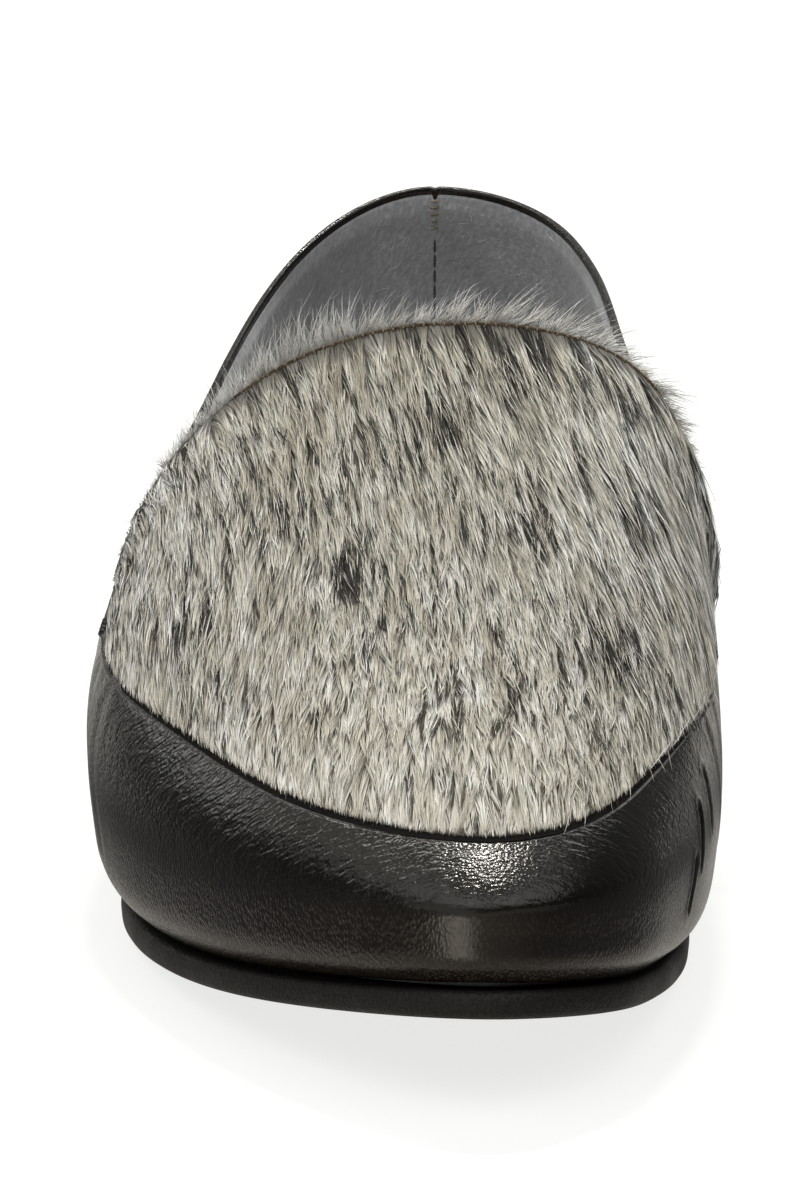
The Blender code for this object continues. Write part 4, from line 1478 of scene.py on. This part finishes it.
# Fringe across the throat: plan offset, turn towards the medial side, rise in degrees and length as a share
FRINGE_COLUMNS = ("offset", "lean", "rise", "length")
FRINGE = (
    (-0.040, -20.0, 20.0, 0.30),
    (-0.028, -10.0, 42.0, 0.62),
    (-0.015, 2.0, 62.0, 1.00),
    (0.000, 12.0, 60.0, 0.66),
    (0.012, 26.0, 54.0, 0.82),
    (0.024, 46.0, 36.0, 1.00),
    (0.034, 52.0, 24.0, 0.90),
    (0.041, 30.0, 12.0, 0.30),
)
FRINGE_HAIRS = 6400
FRINGE_TUFTS = 150
FRINGE_SHORT = (0.0016, 0.0048)
FRINGE_LONG = (0.0048, 0.0086)
FRINGE_LONG_SHARE = 0.30
FRINGE_HALF_WIDTH = (0.000022, 0.000046)

# How tufts and hairs of the fringe vary: turns in degrees, gathering to the tuft, curl, root and tone
TUFT_BLUR = 0.3
TUFT_TURN = 9
TUFT_LENGTH = (0.5, 1.15)
FRINGE_RISE_SPREAD = 12
FRINGE_LEAN_SPREAD = 11
FRINGE_LEAN_MOST = 70
FRINGE_GATHER = (0.1, 0.7)
GATHER_POWER = 1.3
FRINGE_CURL = (0.22, 0.16)
FRINGE_BEND = (-0.1, 0.25)
FRINGE_DEPTH = (0.0001, 0.0008)
FRINGE_BEHIND = 0.0002
FRINGE_TONE = (0.96, 0.05)
FRINGE_DARK_SHARE = 0.06
FRINGE_DARK_TONE = (0.2, 0.5)
FRINGE_SHADE = 0.4


class Throat:
    """Free back edge of the vamp, read by its length: points, outward, backward and sideways directions."""

    def __init__(self):
        self.line, ahead = vamp_grid(0.0, columns=THROAT_COLUMNS, rows=THROAT_SAMPLES)[:2]
        raised = vamp_grid(THROAT_PROBE, columns=THROAT_COLUMNS, rows=THROAT_SAMPLES)[0]
        self.outward = unit(raised - self.line)
        self.backward = unit(self.line - ahead)
        self.way = way_along(self.line)
        self.length = self.way[-1]

    def at(self, at):
        outward = unit(read_along(at, self.way, self.outward))
        backward = unit(read_along(at, self.way, self.backward))
        sideways = unit(np.cross(outward, backward))
        return read_along(at, self.way, self.line), outward, backward, sideways * np.sign(sideways[..., :1])

    def between(self, low, high):
        """Range of the length between two offsets from the middle."""
        return np.interp([low, high], self.line[:, 0], self.way)


def make_throat_fold(throat, finish, thread):
    """Folded raw edge along the throat and the short stitches across it."""
    start, end = throat.between(*FOLD_ENDS)
    at = np.linspace(start, end, FOLD_STEPS)
    point, outward, backward, _ = throat.at(at)
    thin = smooth_step((at - start) / FOLD_TAPER) * smooth_step((end - at) / FOLD_TAPER)
    thin = thin * (1 - FOLD_THIN) + FOLD_THIN
    turn = np.linspace(0.0, 2 * math.pi, FOLD_SIDES, endpoint=False)[None, :, None]
    half_height, half_depth = FOLD_HALF
    spoke = outward[:, None] * np.cos(turn) * half_height + backward[:, None] * np.sin(turn) * half_depth
    points = (point - FOLD_SINK * outward)[:, None] + spoke * thin[:, None, None]
    piece("throat_fold", points, tube_faces(FOLD_STEPS, FOLD_SIDES), finish)

    point, outward, backward, _ = throat.at(np.arange(start + FOLD_PITCH, end, FOLD_PITCH))
    starts, ends = (point + backward * behind + outward * above
                    for behind, above in (FOLD_STITCH_START, FOLD_STITCH_END))
    stitch_row("throat_stitches", starts, ends, outward, FOLD_STITCH_RADIUS, thread)


def make_throat_fringe(throat, finish):
    """Pale hair that stands up and back from the folded edge."""
    random = np.random.default_rng(SEED + 1)
    count = FRINGE_HAIRS
    share = random.uniform(0.0, 1.0, count)
    tuft = np.round(share * FRINGE_TUFTS + random.normal(0.0, TUFT_BLUR, count))
    tuft = np.clip(tuft, 0, FRINGE_TUFTS).astype(int)
    root, outward, backward, sideways = throat.at(share * throat.length)
    fringe = read_table(FRINGE, FRINGE_COLUMNS, root[:, 0])
    tuft_turn = random.normal(0.0, 1.0, FRINGE_TUFTS + 1)[tuft]
    tuft_length = random.uniform(*TUFT_LENGTH, FRINGE_TUFTS + 1)[tuft]
    long = random.uniform(size=count) < FRINGE_LONG_SHARE
    length = np.where(long, random.uniform(*FRINGE_LONG, count), random.uniform(*FRINGE_SHORT, count))
    length = length * fringe["length"] * tuft_length
    rise = np.radians(fringe["rise"] + TUFT_TURN * tuft_turn + random.normal(0.0, FRINGE_RISE_SPREAD, count))
    lean = fringe["lean"] + TUFT_TURN * tuft_turn + random.normal(0.0, FRINGE_LEAN_SPREAD, count)
    lean = np.radians(np.clip(lean, -FRINGE_LEAN_MOST, FRINGE_LEAN_MOST))
    upright = backward * np.cos(rise)[:, None] + outward * np.sin(rise)[:, None]
    heading = upright * np.cos(lean)[:, None] + sideways * np.sin(lean)[:, None]
    gather = throat.at(tuft / FRINGE_TUFTS * throat.length)[0] - root
    gather = gather * random.uniform(*FRINGE_GATHER, count)[:, None]
    bend = sideways * random.normal(*FRINGE_CURL, count)[:, None]
    bend = bend + backward * random.uniform(*FRINGE_BEND, count)[:, None]
    t = np.linspace(0.0, 1.0, HAIR_STEPS + 1)[None, :, None]
    start = root - outward * random.uniform(*FRINGE_DEPTH, count)[:, None] + backward * FRINGE_BEHIND
    path = start[:, None] + heading[:, None] * length[:, None, None] * t
    path = path + gather[:, None] * t**GATHER_POWER + bend[:, None] * length[:, None, None] * t**2
    tone = np.clip(random.normal(*FRINGE_TONE, count), 0.0, 1.0)
    dark = random.uniform(size=count) < FRINGE_DARK_SHARE
    tone = np.where(dark, random.uniform(*FRINGE_DARK_TONE, count), tone)
    width = random.uniform(*FRINGE_HALF_WIDTH, count)
    twist = random.uniform(-math.pi / 2, math.pi / 2, count)
    normals = np.repeat(outward[:, None], path.shape[1], 1)
    ribbons("throat_fringe", path, normals, width, twist, tone, finish,
            root_shade=FRINGE_SHADE)


# Sole, heel and insole: stations between which a plate's spine runs, and roundness of the plates' edges
SPINE = (0.035, 0.215)
SOLE_ROUND = 0.0012
SOCK_ROUND = 0.0007

# Heel block: its height, station up to which its back curve follows the sole's, points round each half of the
# back and across the breast, middle of its top and tread, and the angle of a hard edge
HEEL_BLOCK = HEEL_HEIGHT - GAP
HEEL_PIVOT = 0.03
HEEL_HALF_POINTS = 90
BREAST_POINTS = 42
HEEL_MIDDLE = (0.001, 0.024)
HEEL_SHARP = math.radians(50)

# Rings of the heel block from its top past the joint of the top piece to the tread: height, inset and share
# of the taper
HEEL_LEVELS = (
    (HEEL_BLOCK, 0.0006, 0.0),
    (HEEL_BLOCK - 0.0005, 0.0, 0.04),
    (0.0052, 0.0, 0.62),
    (0.0048, 0.00035, 0.65),
    (0.0044, 0.0, 0.68),
    (0.0008, 0.0, 0.95),
    (0.0, 0.0008, 1.0),
)


def make_plate(name, thickness, base, reach, edge_round, finish):
    """Foot-shaped plate with a rounded edge: lines from its spine over the edge and back below."""
    shares = np.linspace(0.0, 1.0, SOLE_COLUMNS, endpoint=False)
    inner = np.linspace(0.0, 1.0, FLAT_ROWS, endpoint=False)
    flat_reach = reach - edge_round
    rings = [(share, flat_reach, thickness) for share in inner]
    for turn in np.linspace(math.pi / 2, -math.pi / 2, EDGE_TURNS):
        lift = thickness / 2 + (thickness / 2 - edge_round) * np.sign(turn) + edge_round * math.sin(turn)
        rings.append((1.0, flat_reach + edge_round * math.cos(turn), lift))
    rings += [(share, flat_reach, 0.0) for share in inner[::-1]]

    spine_station = np.clip(np.clip(OUTLINE(shares)[:, 1], 0.0, LENGTH), *SPINE)
    middle = (side_reach(spine_station, False) + side_reach(spine_station, True)) / 2
    spine = np.stack([middle, spine_station], 1)
    rows = []
    for share, ring_reach, lift in rings:
        edge = feather_ring(ring_reach, shares)
        x, station = (edge if share == 1.0 else spine + (edge - spine) * share).T
        rows.append(plan_to_space(x, station, base(np.clip(station, 0.0, LENGTH)) + lift))
    faces = grid_faces(len(shares), len(rows), close_rows=True)
    return piece(name, np.stack(rows, 1), [faces], finish, weld=WELD)


def heel_outline(reach, breast):
    """Plan points round the heel block: back curve from the medial side, then the hollow breast."""
    medial = np.linspace(share_at(HEEL_BREAST, True), 1.0, HEEL_HALF_POINTS, endpoint=False)
    lateral = np.linspace(0.0, share_at(HEEL_BREAST, False), HEEL_HALF_POINTS)
    back = feather_ring(reach, np.concatenate([medial, lateral]))
    station = back[:, 1]
    drawn = HEEL_PIVOT + (station - HEEL_PIVOT) * (breast - HEEL_PIVOT) / (HEEL_BREAST - HEEL_PIVOT)
    back[:, 1] = np.where(station > HEEL_PIVOT, drawn, station)
    turns = np.linspace(0.0, 1.0, BREAST_POINTS)[1:-1, None]
    front = back[-1] + (back[0] - back[-1]) * turns
    front[:, 1] -= BREAST_HOLLOW * np.sin(math.pi * turns[:, 0])
    return np.concatenate([back, front])


def make_heel(finish):
    """Low heel block with a softened top edge, a top-piece joint and a rounded tread edge."""
    rings = []
    for z, inset, taper in HEEL_LEVELS:
        out = SOLE_LIP - HEEL_INSET - HEEL_TAPER * taper - inset
        plan = heel_outline(out, HEEL_BREAST - HEEL_TAPER * taper - inset)
        rings.append(plan_to_space(plan[:, 0], plan[:, 1], z))
    loops = np.stack(rings)
    count = loops.shape[1]
    centre = plan_to_space(*HEEL_MIDDLE, np.array([HEEL_BLOCK, 0.0]))
    points = np.concatenate([loops.reshape(-1, 3), centre])
    ring = np.arange(count)
    following = (ring + 1) % count
    last = (len(HEEL_LEVELS) - 1) * count
    top_cap = np.stack([following, ring, np.full(count, len(points) - 2)], 1)
    low_cap = np.stack([last + ring, last + following, np.full(count, len(points) - 1)], 1)
    faces = [grid_faces(len(HEEL_LEVELS), count, close_columns=True), top_cap, low_cap]
    made = piece("heel_block", points, faces, finish, weld=WELD, sharp=HEEL_SHARP)
    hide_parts("heel")


# Stitching of the topline, the back seam and the notches
STITCH_LIFT = 0.3
BACK_STITCHES = 5
BACK_STITCH_TOP = 0.0016
BACK_STITCH_STEP = 0.00125
BACK_STITCH_HALF = 0.0007
BACK_STITCH_SLANT = 0.25
BACK_STITCH_RADIUS = 0.00019
SEAM_THREAD_FROM = 0.0085
SEAM_THREAD_TO = 0.0360
SEAM_THREAD_STEP = 0.0026
SEAM_THREAD_LAP = 1.1
SEAM_THREAD_RADIUS = 0.00018
TACK_STATION = 0.157
TACK_ROWS = 4
TACK_FIRST = 0.7
TACK_STEP = 0.0006
TACK_HALF = 0.0011
TACK_LIFT = 0.00015
TACK_RADIUS = 0.00026


def make_band_stitches(lines, finish):
    """Stitches along the groove of the topline."""
    distance = np.full((len(lines.shares), 1), TOPLINE_GROOVE_AT)
    points, normals, _ = lines.place(distance)
    points = points[:, 0] - normals[:, 0] * TOPLINE_GROOVE
    ring = np.concatenate([points, points[:1]])
    ring_normals = np.concatenate([normals[:, 0], normals[:1, 0]])
    front = np.concatenate([front_share(lines.station), front_share(lines.station[:1])])
    way = way_along(ring)
    count = int(way[-1] / STITCH_PITCH)
    at = np.arange(count) * way[-1] / count
    at = at[np.interp(at, way, front) < STITCH_LIMIT]
    starts = read_along(at, way, ring)
    ends = read_along(at + STITCH_LENGTH, way, ring)
    out = unit(read_along(at + STITCH_LENGTH / 2, way, ring_normals))
    lift = out * STITCH_RADIUS * STITCH_LIFT
    stitch_row("band_stitches", starts + lift, ends + lift, out, STITCH_RADIUS, finish)


def make_seam_shade_sheet(lines, finish):
    """Dark strip of painted shade in the sunk seam, from the coat's edge to the folded edge of the leather.
    """
    front = front_share(lines.station)
    across = np.linspace(0.0, 1.0, STRIP_ROWS)
    distance = np.broadcast_to(SEAM_WIDTH * across, (len(lines.shares), STRIP_ROWS))
    points, normals, _ = lines.place(distance)
    lift = seam_relief(distance, lines.station[:, None]) + STRIP_LIFT
    points = (points + normals * lift[..., None])[front > STITCH_LIMIT]
    faces = grid_faces(len(points), STRIP_ROWS)
    piece("seam_strip", points, [faces], finish)


def make_back_seam(tan_thread, grey_thread):
    """Inside of the back seam: tan stitches across it at the top and grey ones down along it."""
    back = WallLines(np.array([0.0]))

    def inner(distance):
        points, normals, _ = back.place(distance[None])
        return points[0] - normals[0] * WALL, -normals[0]

    distance = BACK_STITCH_TOP + BACK_STITCH_STEP * np.arange(BACK_STITCHES)
    points, inwards = inner(distance)
    slant = BACK_STITCH_HALF * np.array([1.0, 0.0, BACK_STITCH_SLANT])
    stitch_row("back_stitches", points - slant, points + slant, inwards, BACK_STITCH_RADIUS, tan_thread)

    distance = np.arange(SEAM_THREAD_FROM, SEAM_THREAD_TO, SEAM_THREAD_STEP)
    starts, inwards = inner(distance)
    ends, _ = inner(distance + SEAM_THREAD_LAP * SEAM_THREAD_STEP)
    stitch_row("back_seam_thread", starts, ends, inwards, SEAM_THREAD_RADIUS, grey_thread)


def make_tacks(finish):
    """Bar of short stitches at each notch, where the vamp seam meets the topline."""
    rows = []
    distance = TACK_STEP * (TACK_FIRST + np.arange(TACK_ROWS))[None]
    for medial in (False, True):
        share = share_at(TACK_STATION, medial)
        half = TACK_HALF / PERIMETER
        sides = WallLines(np.array([share - half, share, share + half]))
        points, outward, _ = sides.place(np.repeat(distance, 3, 0))
        raised = points + outward * TACK_LIFT
        rows.append((raised[0], raised[2], outward[1]))
    starts, ends, normals = (np.concatenate(part) for part in zip(*rows))
    stitch_row("notch_tacks", starts, ends, normals, TACK_RADIUS, finish)


# Lint of the lining
LINT = 1500
LINT_LENGTH = (0.0006, 0.0026)
LINT_HALF_WIDTH = (0.000018, 0.000034)
LINT_SPREAD = 0.22
LINT_DROP = 0.0006
LINT_REACH = 0.75
LINT_GAP = 0.00003
LINT_CURL = 0.35
LINT_RISE = (0.05, 0.35)
LINT_TONE = (0.55, 1.0)
LINT_TWIST = 1.2
LINT_SHADE = 0.5


def make_lint(finish):
    """Loose pale fibres on the heel lining."""
    random = np.random.default_rng(SEED + 4)
    shares = random.uniform(-LINT_SPREAD, LINT_SPREAD, LINT) % 1.0
    lines = WallLines(shares)
    room = LINT_REACH * lines.reach - LINING_DROP
    distance = LINING_DROP + LINT_DROP + room * random.uniform(0.0, 1.0, LINT)
    points, normals, _ = lines.place(distance[:, None])
    root = points[:, 0] - normals[:, 0] * (WALL + LINT_GAP)
    inwards = -normals[:, 0]
    heading = unit(np.cross(inwards, random.normal(size=(LINT, 3))))
    curl = np.cross(inwards, heading) * random.normal(0.0, LINT_CURL, LINT)[:, None]
    length = random.uniform(*LINT_LENGTH, LINT)[:, None, None]
    t = np.linspace(0.0, 1.0, HAIR_STEPS)[None, :, None]
    rise = random.uniform(*LINT_RISE, LINT)[:, None, None]
    path = heading[:, None] * t + curl[:, None] * t**2 + inwards[:, None] * rise * t
    path = root[:, None] + length * path
    tone = random.uniform(*LINT_TONE, LINT)
    width = random.uniform(*LINT_HALF_WIDTH, LINT)
    twist = random.uniform(-LINT_TWIST, LINT_TWIST, LINT)
    ribbons("lining_lint", path, np.repeat(inwards[:, None], HAIR_STEPS, 1), width, twist, tone, finish,
            root_shade=LINT_SHADE)


# Studio: light of the white floor as it shows, and as the leather mirrors it: a pool round the shoe, a wedge
# behind it, a field in front of it and a glow at the toe
FLOOR_REACH = 5.0
FLOOR_SHOWN = 0.78
FLOOR_SEEN_BASE = (0.26, 0.26, 0.257, 1.0)
FLOOR_MIRRORED_BASE = (0.07, 0.07, 0.07, 1.0)
POOL_CENTRE = (0.005, -0.015, 0.0)
POOL_SCALE = (20.0, 6.6, 1.0)
POOL_EDGE = (0.95, 1.30)
POOL_LIGHT = (0.54, 0.02)
WEDGE_APEX = 0.20
WEDGE_EDGE = (0.35, 0.60)
WEDGE_BEHIND = (0.0, 0.15)
WEDGE_LIGHT = 0.90
FIELD_EDGE = (-0.16, -0.26)
FIELD_LIGHT = 0.70
GLOW_CENTRE = (-0.019, -0.167, 0.0)
GLOW_SCALE = (48.0, 52.0, 1.0)
GLOW_EDGE = (0.0, 1.40)
GLOW_LIGHT = 5.4
SHOWN_COLOUR = (1.0, 1.0, 0.98, 1.0)
MIRRORED_COLOUR = (1.0, 0.95, 0.87, 1.0)

# Light of the surroundings by direction: place on the way from the front to behind, or from level to above,
# and brightness
BACKDROP_BEHIND = ((0.50, 0.03), (0.85, 0.12))
BACKDROP_ABOVE = ((0.45, 0.0), (0.85, 0.22))

# Colours of the lamps, cooler for those at the front
WARM_LIGHT = (1.0, 0.988, 0.96)
FRONT_LIGHT = (0.98, 0.99, 1.0)

# Lamps: name, place, width and height, power in watts and the point they face
LAMPS = (
    ("overhead", (0.01, 0.32, 1.08), (0.20, 0.065), 8.0, (0.0, -0.06, 0.03)),
    ("left_panel", (-1.05, 0.25, 0.80), (0.8, 0.8), 1.3, (0.0, 0.0, 0.03)),
    ("left_low", (-1.10, 1.20, 0.55), (0.6, 0.4), 1.7, (0.0, 0.0, 0.03)),
    ("left_top", (-0.55, 0.90, 1.20), (0.6, 0.6), 5.0, (0.0, 0.0, 0.03)),
    ("right_top", (0.50, 1.40, 1.10), (0.9, 0.9), 4.5, (0.0, 0.0, 0.03)),
    ("front_fill", (0.00, -1.30, 1.50), (1.6, 1.0), 7.8, (0.0, -0.06, 0.03)),
    ("front_left", (-0.90, -0.60, 1.30), (1.4, 1.4), 8.5, (0.0, -0.04, 0.04)),
    ("front_right", (0.90, -0.60, 1.30), (1.4, 1.4), 9.5, (0.0, -0.04, 0.04)),
    ("front_card", (-0.75, -0.95, 0.22), (1.5, 0.6), 2.2, (0.0, -0.12, 0.02)),
)


def make_floor():
    """White floor, which the leather mirrors darker than it shows."""
    mesh = bpy.data.meshes.new("floor")
    corners = [(x * FLOOR_REACH, y * FLOOR_REACH, 0) for x, y in ((-1, -1), (1, -1), (1, 1), (-1, 1))]
    mesh.from_pydata(corners, [], [(0, 1, 2, 3)])
    floor = bpy.data.objects.new("floor", mesh)
    bpy.context.scene.collection.objects.link(floor)
    f = Finish("floor", Roughness=0.7, Specular_IOR_Level=0.1)

    def away(centre, scale):
        inputs = {"Vector": f.place, "Location": centre, "Scale": [1 / value for value in scale]}
        spread = f.node("ShaderNodeMapping", inputs, vector_type="TEXTURE").outputs[0]
        return f.node("ShaderNodeVectorMath", {"Vector": spread}, operation="LENGTH").outputs["Value"]

    pool = f.span(away(POOL_CENTRE, POOL_SCALE), *POOL_EDGE, *POOL_LIGHT)
    glow = f.span(away(GLOW_CENTRE, GLOW_SCALE), *GLOW_EDGE, GLOW_LIGHT, 0.0)
    place = f.split(f.place)
    beside = f.math("DIVIDE", f.math("ABSOLUTE", place["X"], 0.0), f.math("ADD", place["Y"], WEDGE_APEX))
    wedge = f.product(f.span(place["Y"], *WEDGE_BEHIND), f.span(beside, *WEDGE_EDGE, WEDGE_LIGHT, 0.0))
    field = f.span(place["Y"], *FIELD_EDGE, 0.0, FIELD_LIGHT)
    mirrored = f.math("MAXIMUM", f.math("MAXIMUM", pool, glow), f.math("MAXIMUM", wedge, field))
    seen = f.node("ShaderNodeLightPath").outputs["Is Camera Ray"]
    shown = f.product(seen, FLOOR_SHOWN)
    unseen = f.product(f.math("SUBTRACT", 1.0, seen), mirrored)
    f.set(Base_Color=f.mix(seen, FLOOR_MIRRORED_BASE, FLOOR_SEEN_BASE),
          Emission_Color=f.mix(seen, MIRRORED_COLOUR, SHOWN_COLOUR),
          Emission_Strength=f.math("ADD", shown, unseen))
    mesh.materials.append(f.material)


def make_backdrop():
    """White surroundings, which the leather mirrors dark, paler behind the shoe and above it."""
    world = bpy.data.worlds.new("studio")
    bpy.context.scene.world = world
    world.use_nodes = True
    n = Nodes(world.node_tree)
    direction = n.split(n.node("ShaderNodeTexCoord").outputs["Generated"])
    depth = n.span(direction["Y"], -1.0, 1.0)
    behind, above = (n.ramp(value, *((at, grey(light)) for at, light in stops))
                     for value, stops in ((depth, BACKDROP_BEHIND), (direction["Z"], BACKDROP_ABOVE)))
    seen = n.node("ShaderNodeLightPath").outputs["Is Camera Ray"]
    background = n.tree.nodes["Background"].inputs
    n.put(background["Color"], n.mix(seen, n.mix(1.0, behind, above, "LIGHTEN"), grey(1.0)))
    n.put(background["Strength"], 1.0)


def make_lamps():
    """Soft lamps round the shoe."""
    for name, place, size, power, aim in LAMPS:
        data = bpy.data.lights.new(name, "AREA")
        data.shape = "RECTANGLE"
        data.size, data.size_y = size
        data.color = FRONT_LIGHT if name.startswith("front") else WARM_LIGHT
        data.energy = power
        lamp = bpy.data.objects.new(name, data)
        lamp.location = place
        lamp.rotation_euler = (Vector(aim) - Vector(place)).to_track_quat("-Z", "Y").to_euler()
        bpy.context.scene.collection.objects.link(lamp)


def make_camera():
    data = bpy.data.cameras.new("camera")
    data.lens = CAMERA_LENS
    camera = bpy.data.objects.new("camera", data)
    camera.location = CAMERA_PLACE
    ahead = Vector((math.sin(CAMERA_YAW) * math.cos(CAMERA_PITCH),
                    math.cos(CAMERA_YAW) * math.cos(CAMERA_PITCH),
                    -math.sin(CAMERA_PITCH)))
    camera.rotation_euler = ahead.to_track_quat("-Z", "Y").to_euler()
    bpy.context.scene.collection.objects.link(camera)
    bpy.context.scene.camera = camera


def main():
    leather = leather_finish()
    felt = lining_finish()
    hair = hair_finish()
    black_thread = mottled_finish("black_thread")
    tan_thread = mottled_finish("tan_thread")
    sole = rubber_finish("sole_black", (13, 12, 11), (36, 34, 31), (66, 63, 58))
    heel = rubber_finish("heel_black", (12, 11, 10), (34, 32, 30), (62, 59, 55))

    lines = band_lines()
    make_leather_band(lines, leather)
    make_quarter_lining(lines, felt)
    make_band_stitches(lines, black_thread)
    make_seam_shade_sheet(lines, seam_shade_finish())
    make_sheet("vamp_lining", -HIDE_RECESS, -WALL, felt)
    skin = mottled_finish("hide_skin")
    hide = make_sheet("hide_skin", -SKIN_DEPTH, GAP - HIDE_RECESS, skin)
    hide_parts("vamp_hide")
    make_coat(hair)
    make_seam_hairs(hair)
    throat = Throat()
    make_throat_fold(throat, mottled_finish("folded_hide_edge"), tan_thread)
    make_throat_fringe(throat, hair)
    make_back_seam(tan_thread, mottled_finish("grey_thread"))
    make_tacks(black_thread)
    make_lint(hair)
    outsole = make_plate("sole_plate", SOLE_THICKNESS, tread, SOLE_LIP, SOLE_ROUND, sole)
    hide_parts("outsole")
    sock_reach = -FLANGE - GAP
    sock = make_plate("insole_sock", INSOLE_THICKNESS, seat, sock_reach, SOCK_ROUND, felt)
    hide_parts("insole")
    make_heel(heel)
    make_floor()
    make_backdrop()
    make_lamps()
    make_camera()
    bpy.context.scene.view_settings.view_transform = "Standard"


main()
